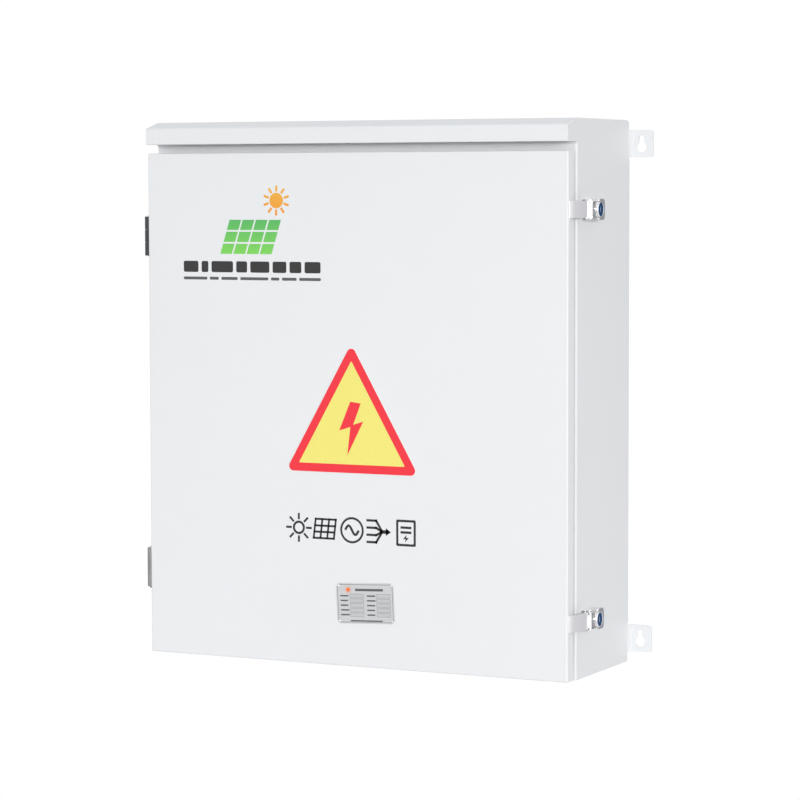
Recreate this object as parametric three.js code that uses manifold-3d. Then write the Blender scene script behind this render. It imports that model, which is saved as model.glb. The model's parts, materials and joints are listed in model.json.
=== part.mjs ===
// Wall-mounted photovoltaic combiner box: a powder-coated sheet-steel enclosure with a
// rain hood, a door on two left-hand hinges, two over-centre side latches, four wall tabs,
// and inside it a mounting plate with breakers, stepped busbars and surge protection.
//
// Millimetres. +Z up, +Y towards the wall, +X to the right of someone facing the door.
// The origin is the centre of the back panel's outer face, so the front is towards -Y.
import * as THREE from 'three';
import { mergeVertices } from 'three/addons/utils/BufferGeometryUtils.js';
import Module from 'manifold-3d';

const wasm = await Module();
wasm.setup();

// ---------------------------------------------------------------- driving dimensions
const HALF_W = 600 / 2;
const HALF_H = 700 / 2;
const SHEET = 1.5;
const FLANGE_Y = -173.5;       // front flange of the body
// rain hood: front and lower and upper edges of its lip, and where the slope meets the roof
const HOOD = { lipY: -204.25, lowZ: 320.75, lipZ: 341.75, roofY: -174.25 };
const RIM = { x: 273, z0: -323, z1: 283, frontY: -188.5 };   // sealing rim, outside
const DOOR = { x: HALF_W - 0.5, z0: -349, z1: 309.5, y0: -200, y1: -180.5, hem: 12.5 };
const DOOR_INNER_Y = DOOR.y0 + SHEET;

const TAB_Z = { upper: 320, lower: -320 };
const SEAT = 2;                // depth of the tab seats pressed into the back panel
const KEYHOLE = { x: [286.5, 314.5], radius: 6.9, dz: -4.25, slotW: 6.9, slotTop: 10.75 };
const slotCentreZ = tabZ => tabZ + KEYHOLE.slotTop - KEYHOLE.slotW / 2;

const PLATE_Y = -22;           // front face of the mounting plate
const INPUT_X = [-150, -50, 50, 150];
const INPUT_POLES = [-25, 0, 25];
const MAIN = { x: -110, z: 150 };
const MAIN_POLES = [-35, 0, 35];
const DIN_Z = 150;

// every combination of an x and a z
const grid = (xs, zs) => xs.flatMap(x => zs.map(z => [x, z]));
const SIDES = [-1, 1];
const PLATE_STUDS = grid([-250, 250], [-285, 285]);

// ---------------------------------------------------------------- materials
const FINISH = {
  coat: { color: 0xe6e7e8, roughness: 0.5, metalness: 0.05 },
  zinc: { color: 0xb9bcc0, roughness: 0.4, metalness: 0.9 },
  blackZinc: { color: 0x3c3e42, roughness: 0.5, metalness: 0.7 },
  chrome: { color: 0xc9ccd0, roughness: 0.18, metalness: 1 },
  blue: { color: 0x14466f, roughness: 0.45, metalness: 0 },
  rubber: { color: 0x202124, roughness: 0.9, metalness: 0 },
  grey: { color: 0x9aa0a6, roughness: 0.6, metalness: 0 },
  black: { color: 0x2a2c30, roughness: 0.55, metalness: 0 },
  copper: { color: 0xb87348, roughness: 0.35, metalness: 1 },
  brass: { color: 0xb99a55, roughness: 0.4, metalness: 1 },
  red: { color: 0xb03028, roughness: 0.5, metalness: 0 },
  clear: { color: 0xdfe6ea, roughness: 0.1, metalness: 0, transparent: true, opacity: 0.3 },
  moulded: { color: 0xd9dadb, roughness: 0.55, metalness: 0 },
  silver: { color: 0xc6c8c4, roughness: 0.4, metalness: 0.6 },
  yellow: { color: 0xf0e070, roughness: 0.5, metalness: 0 },
  white: { color: 0xe8e8e4, roughness: 0.5, metalness: 0 },
};

// ---------------------------------------------------------------- outlines
function circle(centreU, centreV, radius, segments = 24, phase = 0.5) {
  return Array.from({ length: segments }, (_, i) => {
    const angle = ((i + phase) / segments) * Math.PI * 2;
    return [centreU + radius * Math.cos(angle), centreV + radius * Math.sin(angle)];
  });
}

// Arc points that round the corner between its two neighbours.
function cornerArc(before, [u, v, radius], after, steps) {
  const unitTo = point => {
    const length = Math.hypot(point[0] - u, point[1] - v);
    return [(point[0] - u) / length, (point[1] - v) / length];
  };
  const back = unitTo(before);
  const ahead = unitTo(after);
  const cosine = back[0] * ahead[0] + back[1] * ahead[1];
  const half = Math.acos(Math.max(-1, Math.min(1, cosine))) / 2;
  const setback = radius / Math.tan(half);
  const bisector = [back[0] + ahead[0], back[1] + ahead[1]];
  const reach = radius / Math.sin(half);
  const length = Math.hypot(...bisector);
  const centreU = u + (bisector[0] / length) * reach;
  const centreV = v + (bisector[1] / length) * reach;
  const angleAt = dir => Math.atan2(v + dir[1] * setback - centreV, u + dir[0] * setback - centreU);
  const start = angleAt(back);
  let sweep = angleAt(ahead) - start;
  if (sweep > Math.PI) sweep -= 2 * Math.PI;
  if (sweep < -Math.PI) sweep += 2 * Math.PI;
  return Array.from({ length: steps + 1 }, (_, k) => {
    const angle = start + (sweep * k) / steps;
    return [centreU + radius * Math.cos(angle), centreV + radius * Math.sin(angle)];
  });
}

// Polygon with rounded corners: points are [u, v, radius].
function rounded(points, steps = 4) {
  const count = points.length;
  return points.flatMap((point, i) => (point[2]
    ? cornerArc(points[(i + count - 1) % count], point, points[(i + 1) % count], steps)
    : [[point[0], point[1]]]));
}

const roundRect = (u0, u1, v0, v1, radius) =>
  rounded([[u0, v0, radius], [u1, v0, radius], [u1, v1, radius], [u0, v1, radius]]);

function turn([u, v], degrees) {
  const angle = (degrees * Math.PI) / 180;
  const cos = Math.cos(angle);
  const sin = Math.sin(angle);
  return [u * cos - v * sin, u * sin + v * cos];
}

// ---------------------------------------------------------------- solids
function solid(geometry) {
  const bare = geometry.clone();
  bare.deleteAttribute('normal');
  bare.deleteAttribute('uv');
  const merged = mergeVertices(bare, 1e-4);
  return new wasm.Manifold(new wasm.Mesh({
    numProp: 3,
    vertProperties: new Float32Array(merged.attributes.position.array),
    triVerts: new Uint32Array(merged.index.array),
  }));
}

function toPath(points, Kind) {
  const path = new Kind();
  points.forEach(([u, v], i) => (i ? path.lineTo(u, v) : path.moveTo(u, v)));
  path.closePath();
  return path;
}

// A prism of an outline (with optional holes) between two places on an axis, in any order.
// Outline coordinates are (x, y) for 'z', (x, z) for 'y' and (y, z) for 'x'.
function prism(axis, points, from, to, holes = []) {
  const low = Math.min(from, to);
  const high = Math.max(from, to);
  const shape = toPath(points, THREE.Shape);
  shape.holes = holes.map(hole => toPath(hole, THREE.Path));
  const geometry = new THREE.ExtrudeGeometry(shape,
    { depth: high - low, bevelEnabled: false, steps: 1 });
  const placement = {
    x: [0, 0, 1, low, 1, 0, 0, 0, 0, 1, 0, 0, 0, 0, 0, 1],
    y: [1, 0, 0, 0, 0, 0, -1, high, 0, 1, 0, 0, 0, 0, 0, 1],
    z: [1, 0, 0, 0, 0, 1, 0, 0, 0, 0, 1, low, 0, 0, 0, 1],
  };
  geometry.applyMatrix4(new THREE.Matrix4().set(...placement[axis]));
  return solid(geometry);
}

// A box between two limits on each axis, in any order.
function box(x0, x1, y0, y1, z0, z1) {
  const geometry = new THREE.BoxGeometry(Math.abs(x1 - x0), Math.abs(y1 - y0), Math.abs(z1 - z0));
  geometry.translate((x0 + x1) / 2, (y0 + y1) / 2, (z0 + z1) / 2);
  return solid(geometry);
}

const fuse = (...solids) => solids.reduce((sum, part) => sum.add(part));
const cut = (body, ...tools) => tools.reduce((rest, tool) => rest.subtract(tool), body);

const group = new THREE.Group();

function put(name, manifold, finish) {
  const { numProp, vertProperties, triVerts } = manifold.getMesh();
  const count = vertProperties.length / numProp;
  const positions = new Float32Array(count * 3);
  for (let i = 0; i < count; i++) {
    for (let k = 0; k < 3; k++) positions[i * 3 + k] = vertProperties[i * numProp + k];
  }
  const geometry = new THREE.BufferGeometry();
  geometry.setAttribute('position', new THREE.BufferAttribute(positions, 3));
  geometry.setIndex(Array.from(triVerts));
  geometry.computeVertexNormals();
  const mesh = new THREE.Mesh(geometry, new THREE.MeshStandardMaterial(FINISH[finish]));
  mesh.name = name;
  group.add(mesh);
}

// ---------------------------------------------------------------- enclosure
function hollowBody() {
  const floorBend = 5, roofBend = 10;
  const outer = prism('x', rounded([
    [0, -HALF_H, floorBend], [FLANGE_Y, -HALF_H, 0],
    [FLANGE_Y, HOOD.lowZ, 0], [HOOD.lipY, HOOD.lowZ, 0],
    [HOOD.lipY, HOOD.lipZ, 2], [HOOD.roofY, HALF_H, 4], [0, HALF_H, roofBend],
  ]), -HALF_W, HALF_W);
  const inner = prism('x', rounded([
    [-SHEET, -HALF_H + SHEET, floorBend - SHEET], [FLANGE_Y + SHEET, -HALF_H + SHEET, 0],
    [FLANGE_Y + SHEET, HOOD.lowZ + SHEET, 0], [HOOD.lipY + SHEET, HOOD.lowZ + SHEET, 0],
    [HOOD.lipY + SHEET, HOOD.lipZ - 1.25, 0.75], [HOOD.roofY + 0.25, HALF_H - SHEET, 3],
    [-SHEET, HALF_H - SHEET, roofBend - SHEET],
  ]), -HALF_W + SHEET, HALF_W - SHEET);
  const doorway = box(-RIM.x + SHEET, RIM.x - SHEET, FLANGE_Y - 1, FLANGE_Y + 2.5,
    RIM.z0 + SHEET, RIM.z1 - SHEET);
  return cut(outer, inner, doorway);
}

// rim that bites into the door gasket
function sealingRim() {
  const corner = 5;
  return prism('y', roundRect(-RIM.x, RIM.x, RIM.z0, RIM.z1, corner), RIM.frontY, FLANGE_Y + SHEET,
    [roundRect(-RIM.x + SHEET, RIM.x - SHEET, RIM.z0 + SHEET, RIM.z1 - SHEET, corner - SHEET)]);
}

// seat for a wall tab, pressed into one back corner
function pressSeat(shell, sideX, sideZ) {
  const innerX = 267, innerZ = 299.5;
  const wallEndZ = sideZ > 0 ? 344 : 348;
  const wall = box(sideX * (innerX - SHEET), sideX * 299, -SEAT - SHEET, -SHEET + 0.1,
    sideZ * (innerZ - SHEET), sideZ * wallEndZ);
  const recess = box(sideX * innerX, sideX * 301, -SEAT, 1, sideZ * innerZ, sideZ * 351);
  return shell.add(wall).subtract(recess);
}

function enclosureShell() {
  let shell = hollowBody().add(sealingRim());
  // spacer studs that carry the mounting plate, with thinner threaded ends
  for (const [x, z] of PLATE_STUDS) {
    shell = shell.add(prism('y', circle(x, z, 8, 12), -20, -1));
    shell = shell.add(prism('y', circle(x, z, 3, 10), -33, -19));
  }
  for (const [sideX, sideZ] of grid(SIDES, SIDES)) shell = pressSeat(shell, sideX, sideZ);
  for (const [sideX, z] of grid(SIDES, Object.values(TAB_Z))) {
    const boltHole = circle(sideX * KEYHOLE.x[0], slotCentreZ(z), 3.3, 12);
    shell = shell.subtract(prism('y', boltHole, -5, 1));
  }
  const cableOpening = roundRect(-185, 185, -130, -40, 6);
  return shell.subtract(prism('z', cableOpening, -HALF_H - 1, -HALF_H + SHEET + 0.5));
}

put('enclosure_shell', enclosureShell(), 'coat');

// ---------------------------------------------------------------- wall tabs and their bolts
const TAB = { x0: 270, x1: 330.75, halfH: 35 / 2, thick: 2, joggle: 4 };
const TAB_FRONT_CUT = -4, TAB_BACK_CUT = 10;   // y range of the tools that trim a tab

function wallTab(side, z) {
  const seatBack = TAB.thick - SEAT;
  const outerBack = TAB.joggle + TAB.thick;
  // [x, y] along the front face outwards, then back along the wall side
  const profile = [
    [TAB.x0, -SEAT], [301.5, -SEAT], [303, TAB.joggle], [TAB.x1, TAB.joggle],
    [TAB.x1, outerBack], [301.44, outerBack], [299.94, seatBack], [TAB.x0, seatBack],
  ].map(([x, y]) => [x * side, y]);
  const through = points => prism('y', points, TAB_FRONT_CUT, TAB_BACK_CUT);
  const outline = roundRect(side * TAB.x0, side * TAB.x1, z - TAB.halfH, z + TAB.halfH, 3.5);
  let tab = prism('z', profile, z - TAB.halfH, z + TAB.halfH).intersect(through(outline));
  const halfSlot = KEYHOLE.slotW / 2;
  const slotZ = slotCentreZ(z);
  const entryZ = z + KEYHOLE.dz;
  for (const holeX of KEYHOLE.x) {
    const x = side * holeX;
    tab = cut(tab, through(circle(x, entryZ, KEYHOLE.radius, 20)),
      through(circle(x, slotZ, halfSlot, 16)),
      box(x - halfSlot, x + halfSlot, TAB_FRONT_CUT, TAB_BACK_CUT, entryZ, slotZ));
  }
  return tab;
}

function wallTabBolt(side, tabZ) {
  const x = side * KEYHOLE.x[0];
  const z = slotCentreZ(tabZ);
  const headY = TAB.thick - SEAT;
  return fuse(prism('y', circle(x, z, 5.75, 6, 0), headY, headY + 3.5),
    prism('y', circle(x, z, 3, 14), -12, headY + 1));
}

for (const [level, z] of Object.entries(TAB_Z)) {
  for (const [hand, side] of [['left', -1], ['right', 1]]) {
    put(`wall_tab_${level}_${hand}`, wallTab(side, z), 'coat');
    put(`wall_tab_bolt_${level}_${hand}`, wallTabBolt(side, z), 'zinc');
  }
}

// ---------------------------------------------------------------- mounting and gland plates
put('mounting_plate', prism('y', roundRect(-262.5, 262.5, -300, 300, 6), PLATE_Y, PLATE_Y + 2,
  PLATE_STUDS.map(([x, z]) => circle(x, z, 3.5, 12))), 'zinc');

const ENTRY_Y = -85;
// cable entries: [x, radius]
const ENTRIES = [
  [0, 22], [-55, 14.5], [-95, 14.5], [-135, 14.5], [55, 14.5], [95, 14.5], [135, 14.5],
];

put('gland_plate', prism('z', roundRect(-200, 200, -145, -25, 5), -348.5, -346.5,
  ENTRIES.map(([x, radius]) => circle(x, ENTRY_Y, radius, 20))), 'coat');

// tapered plug that hangs through one cable entry
function membraneCone(x, entryRadius) {
  const radius = entryRadius - 0.5;
  // [radius, height above the gland plate's upper part]
  const profile = [[0, -6.25], [entryRadius * 0.42, -6.25], [radius, -1.5], [radius, 1], [0, 1]];
  const cone = new THREE.LatheGeometry(profile.map(([u, v]) => new THREE.Vector2(u, v)), 20);
  cone.rotateX(Math.PI / 2);
  cone.translate(x, ENTRY_Y, -346);
  return solid(cone);
}

put('cable_membrane', fuse(prism('z', roundRect(-168, 168, -115, -55, 6), -346.25, -343),
  ...ENTRIES.map(([x, radius]) => membraneCone(x, radius))), 'rubber');

// ---------------------------------------------------------------- door
// folded tray with hems turned in around its open back
function doorPanel() {
  const { x, y0, y1, z0, z1, hem } = DOOR;
  return cut(box(-x, x, y0, y1, z0, z1),
    box(-x + SHEET, x - SHEET, DOOR_INNER_Y, y1 - SHEET, z0 + SHEET, z1 - SHEET),
    box(-x + hem, x - hem, y1 - 3, y1 + 3, z0 + hem, z1 - hem));
}

// frame centred on the thickness of the sealing rim
function doorGasket() {
  const half = 8;
  const x = RIM.x - SHEET / 2;
  const z0 = RIM.z0 + SHEET / 2;
  const z1 = RIM.z1 - SHEET / 2;
  return prism('y', roundRect(-x - half, x + half, z0 - half, z1 + half, 10),
    DOOR_INNER_Y, -188.75, [roundRect(-x + half, x - half, z0 + half, z1 - half, 4)]);
}

// tray open at the top
const documentPocket = () => cut(box(-120, 120, DOOR_INNER_Y, -176.5, -235, -75),
  box(-117.5, 117.5, DOOR_INNER_Y + 2, -178.5, -232.5, -74));

function warningSign() {
  const corner = 6.5;
  const triangle = [[-95.75, -100, corner], [95.75, -100, corner], [0, 67, corner]];
  return prism('y', rounded(triangle, 5), DOOR.y0 - 0.5, DOOR.y0);
}

// octagonal plate, slightly tilted
function ratingPlate() {
  const centre = { x: 19.25, z: -266.25 };
  const tilt = 2.5;
  const octagon = [
    [-41, -22], [-37, -26], [37, -26], [41, -22], [41, 22], [37, 26], [-37, 26], [-41, 22],
  ].map(point => turn(point, tilt));
  return prism('y', octagon.map(([u, v]) => [centre.x + u, centre.z + v]),
    DOOR.y0 - 0.75, DOOR.y0);
}

put('door_panel', doorPanel(), 'coat');
put('door_gasket', doorGasket(), 'rubber');
put('document_pocket', documentPocket(), 'moulded');
put('warning_sign', warningSign(), 'yellow');
put('rating_plate', ratingPlate(), 'silver');

// ---------------------------------------------------------------- hinges (left side)
const HINGE_Z = { upper: 201, lower: -239.5 };
const HINGE = {
  pivot: [-310.5, -177],       // axis in plan
  halfH: 51.5 / 2, knuckleR: 7, pinR: 3, boreR: 3.3, headR: 4.75,
  bodyGap: 8.75, doorHalf: 8.5,   // half-heights of the body leaf's gap and the door knuckle
};
// webs from leaf to knuckle, in plan [x, y]
const BODY_WEB = [
  [-HALF_W, -171], [-HALF_W, -160], [-303.5, -160], [-312, -170.25], HINGE.pivot, [-304.5, -173.25],
];
const DOOR_WEB = [
  [-DOOR.x, -183], [-DOOR.x, -190], [-303, -192], [-312, -183.75], HINGE.pivot, [-304.5, -180.75],
];
const onHingeAxis = (radius, segments, z0, z1) =>
  prism('z', circle(...HINGE.pivot, radius, segments), z0, z1);

for (const [level, z] of Object.entries(HINGE_Z)) {
  const z0 = z - HINGE.halfH;
  const z1 = z + HINGE.halfH;
  const bore = onHingeAxis(HINGE.boreR, 20, z0 - 1, z1 + 1);
  const knuckle = (web, from, to) =>
    fuse(onHingeAxis(HINGE.knuckleR, 24, from, to), prism('z', web, from, to));
  put(`hinge_body_leaf_${level}`, cut(fuse(
    prism('x', roundRect(-171, -147, z0, z1, 3), -303.5, -HALF_W),
    knuckle(BODY_WEB, z0, z - HINGE.bodyGap),
    knuckle(BODY_WEB, z + HINGE.bodyGap, z1)), bore), 'blackZinc');
  put(`hinge_door_leaf_${level}`, cut(fuse(
    prism('x', roundRect(-198, -183, z0, z1, 3), -303, -DOOR.x),
    knuckle(DOOR_WEB, z - HINGE.doorHalf, z + HINGE.doorHalf)), bore), 'blackZinc');
  put(`hinge_pin_${level}`, fuse(onHingeAxis(HINGE.pinR, 20, z0 - 1.5, z1 + 0.5),
    onHingeAxis(HINGE.headR, 20, z1 + 0.25, z1 + 2)), 'zinc');
}

// ---------------------------------------------------------------- side latches (right side)
const LATCH_Z = { upper: 236.75, lower: -276.25 };
const LEVER_PIVOT = [305.5, -157.5];   // in plan
const CLAW_PIVOT = [311.5, -156];      // on the lever, in plan
const PIVOT_PIN_R = 1.75;
const LEVER_X = { inner: 313.2, outer: 315.2 };   // faces of the lever's outer plate
const KEY = { y: -138, radius: 8.25 };

const pivotHole = (pivot, z) => prism('z', circle(...pivot, 2, 14), z - 20, z + 20);
const pivotPin = (pivot, z, half) =>
  prism('z', circle(...pivot, PIVOT_PIN_R, 14), z - half, z + half);
// two equal walls above and below the latch's middle
const wallPair = (points, z, near, far) =>
  fuse(...[1, -1].map(side => prism('z', points, z + side * near, z + side * far)));

// floor and two side walls, all under the lever
function latchBase(z) {
  const wall = [
    [301, -161.5], [306.2, -161.5], [308.4, -159.9], [309.4, -157.5], [309.4, -124.2], [301, -124.2],
  ];
  return cut(fuse(prism('x', roundRect(-163, -122, z - 12.25, z + 12.25, 2.5), HALF_W, 302),
    wallPair(wall, z, 9.4, 10.9)), pivotHole(LEVER_PIVOT, z));
}

// [y, z from the latch's middle] of the grip, with a bowed end towards the wall
function gripOutline() {
  const half = 13.1, endY = -121.6, bow = 2.1;
  const arc = [];
  for (let i = -5; i <= 5; i++) arc.push([endY + bow * (1 - (i / 6) ** 2), (i / 6) * half]);
  return [[KEY.y, -half], [-124.5, -half], [-122.6, -12.3], ...arc,
    [-122.6, 12.3], [-124.5, half], [KEY.y, half]];
}

// cap over the base with chamfered rails, an outer plate that widens into the grip,
// an end wall and the key cylinder's collar
function latchLever(z) {
  const { inner, outer } = LEVER_X;
  const sideWall = [
    [302.7, LEVER_PIVOT[1]], [304.6, -160.5], [312.6, -160.5],
    [312.6, -121.8], [303.5, -121.8], [302.7, -124],
  ];
  // rail section: [x, z from the latch's middle]
  const railSection = [
    [311.3, 8.3], [outer, 8.3], [outer, 10.15], [312.6, 12.75], [311.3, 12.75],
  ];
  const rail = side => prism('y', railSection.map(([x, dz]) => [x, z + side * dz]), -160.5, -137.5);
  const plate = [[-150.1, z - 9], [-137, z - 9], [-137, z + 9], [-150.1, z + 9]];
  return cut(fuse(wallPair(sideWall, z, 11.25, 12.75), rail(1), rail(-1),
    prism('x', plate, inner, outer),
    prism('x', gripOutline().map(([y, dz]) => [y, z + dz]), inner, outer),
    box(303.5, 314, -123.5, -121.8, z - 12, z + 12),
    prism('x', circle(KEY.y, z, 9, 32), 304, 317.25)),
  pivotHole(LEVER_PIVOT, z), pivotHole(CLAW_PIVOT, z),
  prism('x', circle(KEY.y, z, KEY.radius + 0.2, 32), 308, 319));
}

// plug with a key slot in its outer face
const latchKeyPlug = z => cut(prism('x', circle(KEY.y, z, KEY.radius, 32), 308.5, 317),
  box(314.5, 318, KEY.y - 0.85, KEY.y + 0.85, z - 3.5, z + 3.5));

// hook and ramp in sheet, a narrower block that fills the notch in the lever's nose, and a pin
function latchClaw(z) {
  const hook = [
    [299.8, -197.9], [300.9, -197.9], [304.7, -191.8], [311.4, -162.2],
    [309.9, -162.2], [303.25, -191.4], [299.8, -196.6],
  ];
  const block = [
    [309.8, -162.9], [311.24, -162.9], [311.4, -161.2], [314.3, -161.2],
    [LEVER_X.outer, -160.2], [LEVER_X.outer, -151.6], [313.4, -151.6],
    [312.4, -152.4], [308.6, -153.6], [308.4, -158], [309.9, -161.2],
  ];
  return fuse(prism('z', hook, z - 10.4, z + 11.2), prism('z', block, z - 8, z + 8),
    pivotPin(CLAW_PIVOT, z, 12.3));
}

// plate on the door's side return, with a lip at its front edge
const latchKeeper = z => fuse(
  prism('x', roundRect(-192.8, -182, z - 9.5, z + 9.5, 1.5), DOOR.x, 300.5),
  box(DOOR.x, 301.8, -192.8, -191.2, z - 8.5, z + 8.5));

for (const [level, z] of Object.entries(LATCH_Z)) {
  put(`latch_base_${level}`, latchBase(z), 'chrome');
  put(`latch_pin_${level}`, pivotPin(LEVER_PIVOT, z, 13.4), 'zinc');
  put(`latch_lever_${level}`, latchLever(z), 'chrome');
  put(`latch_key_plug_${level}`, latchKeyPlug(z), 'blue');
  put(`latch_claw_${level}`, latchClaw(z), 'chrome');
  put(`latch_keeper_${level}`, latchKeeper(z), 'chrome');
}

// ---------------------------------------------------------------- moulded-case breakers
// Sizes are [width, height]. Terminal pockets open at both ends and to the front;
// poles are their x offsets, and pocketY and windowY are the floors of the recesses.
const INPUT_BREAKER = {
  size: [78, 132], bodyY: -86, poles: INPUT_POLES, pocket: [18, 20], pocketY: -56.75,
  nose: [44, 62], noseY: -94, window: [22, 40], windowY: -72,
};
const MAIN_BREAKER = {
  size: [107, 165], bodyY: -112, poles: MAIN_POLES, pocket: [26, 26], pocketY: -71.75,
  nose: [62, 86], noseY: -122, window: [28, 52], windowY: -94,
};

function breaker(x, z, spec) {
  const block = ([width, height], y0, y1) =>
    box(x - width / 2, x + width / 2, y0, y1, z - height / 2, z + height / 2);
  const halfH = spec.size[1] / 2;
  const [pocketW, pocketH] = spec.pocket;
  const pockets = grid(spec.poles, SIDES).map(([pole, end]) =>
    box(x + pole - pocketW / 2, x + pole + pocketW / 2, spec.bodyY - 1, spec.pocketY,
      z + end * (halfH - pocketH), z + end * (halfH + 1)));
  return cut(
    fuse(block(spec.size, spec.bodyY, PLATE_Y), block(spec.nose, spec.noseY, spec.bodyY + 1)),
    ...pockets, block(spec.window, spec.noseY - 1, spec.windowY));
}

// rocker lever: barrel about the X axis with a tapered handle, tilted up (degrees)
function toggle({ x, y, z, radius, halfW, reach, handleHalfW, thick, tilt }) {
  // [distance out from the axis, height across the handle]
  const handle = [
    [0, -thick * 0.75], [reach * 0.45, -thick * 0.6], [reach, -thick * 0.38], [reach + 1.2, 0],
    [reach, thick * 0.38], [reach * 0.45, thick * 0.6], [0, thick * 0.75],
  ].map(point => turn(point, tilt)).map(([out, up]) => [y - out, z + up]);
  return fuse(prism('x', circle(y, z, radius, 24), x - halfW, x + halfW),
    prism('x', handle, x - handleHalfW, x + handleHalfW));
}

const INPUT_Z = -180;
INPUT_X.forEach((x, i) => {
  put(`input_breaker_${i + 1}`, breaker(x, INPUT_Z, INPUT_BREAKER), 'black');
  put(`input_toggle_${i + 1}`, toggle({
    x, y: -83, z: INPUT_Z, radius: 9.5, halfW: 10.5, reach: 26, handleHalfW: 7.5, thick: 8, tilt: 16,
  }), 'black');
});

const TRIP = [MAIN.x + 23, MAIN.z - 30];   // trip button's x and z
put('main_breaker', cut(breaker(MAIN.x, MAIN.z, MAIN_BREAKER),
  prism('y', circle(...TRIP, 3.9, 16), -123, -113.5)), 'black');
put('main_toggle', toggle({
  ...MAIN, y: -109, radius: 12, halfW: 13.5, reach: 34, handleHalfW: 10, thick: 10.5, tilt: 16,
}), 'black');
put('main_trip_button', prism('y', circle(...TRIP, 3.5, 16), -124.5, -117), 'red');

// ---------------------------------------------------------------- busbars, supports and guard
const BARS = {
  l1: { z0: -80, z1: -60, y0: -52, y1: -49 },
  l2: { z0: -40, z1: -20, y0: -67, y1: -64 },
  l3: { z0: 0, z1: 20, y0: -82, y1: -79 },
};
// Branches to the breakers: y range of the end pad, near and far faces of the step that
// leads to it, and the z where the pad ends.
const INPUT_BRANCH = { halfW: 7.5, padY: [-60, -57], nearZ: -100, farZ: -103, endZ: -129 };
const MAIN_BRANCH = { halfW: 10, padY: [-75, -72], nearZ: 49, farZ: 52, endZ: 86 };

function branch(x, bar, startZ, { halfW, padY, nearZ, farZ, endZ }) {
  const strip = (y0, y1, z0, z1) => box(x - halfW, x + halfW, y0, y1, z0, z1);
  return fuse(strip(bar.y0, bar.y1, startZ, farZ),
    strip(Math.min(bar.y0, padY[0]), Math.max(bar.y1, padY[1]), nearZ, farZ),
    strip(...padY, nearZ, endZ));
}

Object.entries(BARS).forEach(([phase, bar], i) => {
  put(`busbar_${phase}`, fuse(box(-205, 205, bar.y0, bar.y1, bar.z0, bar.z1),
    ...INPUT_X.map(x => branch(x + INPUT_POLES[i], bar, bar.z0 + 2, INPUT_BRANCH)),
    branch(MAIN.x + MAIN_POLES[i], bar, bar.z1 - 2, MAIN_BRANCH)), 'copper');
});

// stepped support section: [y, z]
const SUPPORT = [
  [PLATE_Y, -85], [-48.75, -85], [-48.75, -50], [-63.75, -50],
  [-63.75, -10], [-78.75, -10], [-78.75, 25], [PLATE_Y, 25],
];
for (const [hand, x] of [['left', -202], ['right', 188]]) {
  put(`busbar_support_${hand}`, prism('x', SUPPORT, x, x + 14), 'red');
}

put('busbar_guard', fuse(prism('y', roundRect(-220, 220, -109, 62, 5), -101.5, -98.5),
  ...grid([-213, 213], [-75, 30]).map(([x, z]) =>
    box(x - 4, x + 4, -100, PLATE_Y, z - 4, z + 4))), 'clear');

// ---------------------------------------------------------------- DIN rail, surge protection
// top-hat section: [front y, back y, z0, z1 from the rail's middle]
const RAIL_WALLS = [
  [-23, PLATE_Y, -13.5, 13.5], [-29.5, PLATE_Y, 12.5, 13.5], [-29.5, PLATE_Y, -13.5, -12.5],
  [-29.5, -28.5, 12.5, 17.5], [-29.5, -28.5, -17.5, -12.5],
];
put('din_rail', fuse(...RAIL_WALLS.map(([y0, y1, z0, z1]) =>
  box(5, 245, y0, y1, DIN_Z + z0, DIN_Z + z1))), 'zinc');

// side view of the rail-mounted devices: [y, z from the rail's middle]
const MODULE = [
  [-24.25, -36], [-24.25, -18.25], [-29.75, -18.25], [-29.75, 18.25], [-24.25, 18.25],
  [-24.25, 36], [-34, 43], [-72, 43], [-72, 22.5], [-88, 22.5],
  [-88, -22.5], [-72, -22.5], [-72, -43], [-34, -43],
].map(([y, z]) => [y, z + DIN_Z]);

// three thin vertical grooves at an 18 mm pitch
put('surge_arrester', cut(prism('x', MODULE, 110, 182), ...[0, 1, 2].map(i =>
  box(127.6 + 18 * i, 128.4 + 18 * i, -89, -60, DIN_Z - 23.5, DIN_Z + 23.5))), 'grey');
put('surge_breaker', cut(prism('x', MODULE, 36, 90),
  box(42, 84, -89, -76, DIN_Z - 10, DIN_Z + 10)), 'white');
put('surge_breaker_toggle', toggle({
  x: (36 + 90) / 2, y: -84.25, z: DIN_Z, radius: 6, halfW: 20.5,
  reach: 13.5, handleHalfW: 18, thick: 5, tilt: 18,
}), 'blue');

// ---------------------------------------------------------------- earth and neutral
for (const [name, x] of [['earth_bar', -215], ['neutral_bar', 15]]) {
  const foot = offset => box(x + offset, x + offset + 12, -39, PLATE_Y, -291, -281);
  put(name, fuse(box(x, x + 200, -46, -38, -292, -280), foot(4), foot(184)), 'brass');
}

// flat strap from the left wall to the door
function earthStrap() {
  const centreline = [[-296, -96], [-290, -112], [-262, -146], [-250, -168], [-246, -197.5]];
  const half = 1.25;
  const offset = side => centreline.map(([x, y], i) => {
    const before = centreline[Math.max(0, i - 1)];
    const after = centreline[Math.min(centreline.length - 1, i + 1)];
    const dx = after[0] - before[0];
    const dy = after[1] - before[1];
    const length = Math.hypot(dx, dy);
    return [x - (side * half * dy) / length, y + (side * half * dx) / length];
  });
  return prism('z', [...offset(1), ...offset(-1).reverse()], -68, -52);
}

put('earth_strap', earthStrap(), 'copper');

export default group;
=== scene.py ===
"""Solar combiner box: a wall-mounted steel enclosure with breakers, busbars, surge arresters,
terminal bars and wiring behind a hinged door.

The back wall lies at y = 0 and the door's face at y = -200 mm, towards -y. The door hinges on
the left (-x) and latches on the right (+x); z is up and the origin is midway in x and z.
Lengths are in millimetres unless a comment says otherwise, and become metres in Solid.make.
"""
import json
import math
import random
from typing import NamedTuple

import bmesh
import bpy
from mathutils import Matrix, Vector


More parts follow.
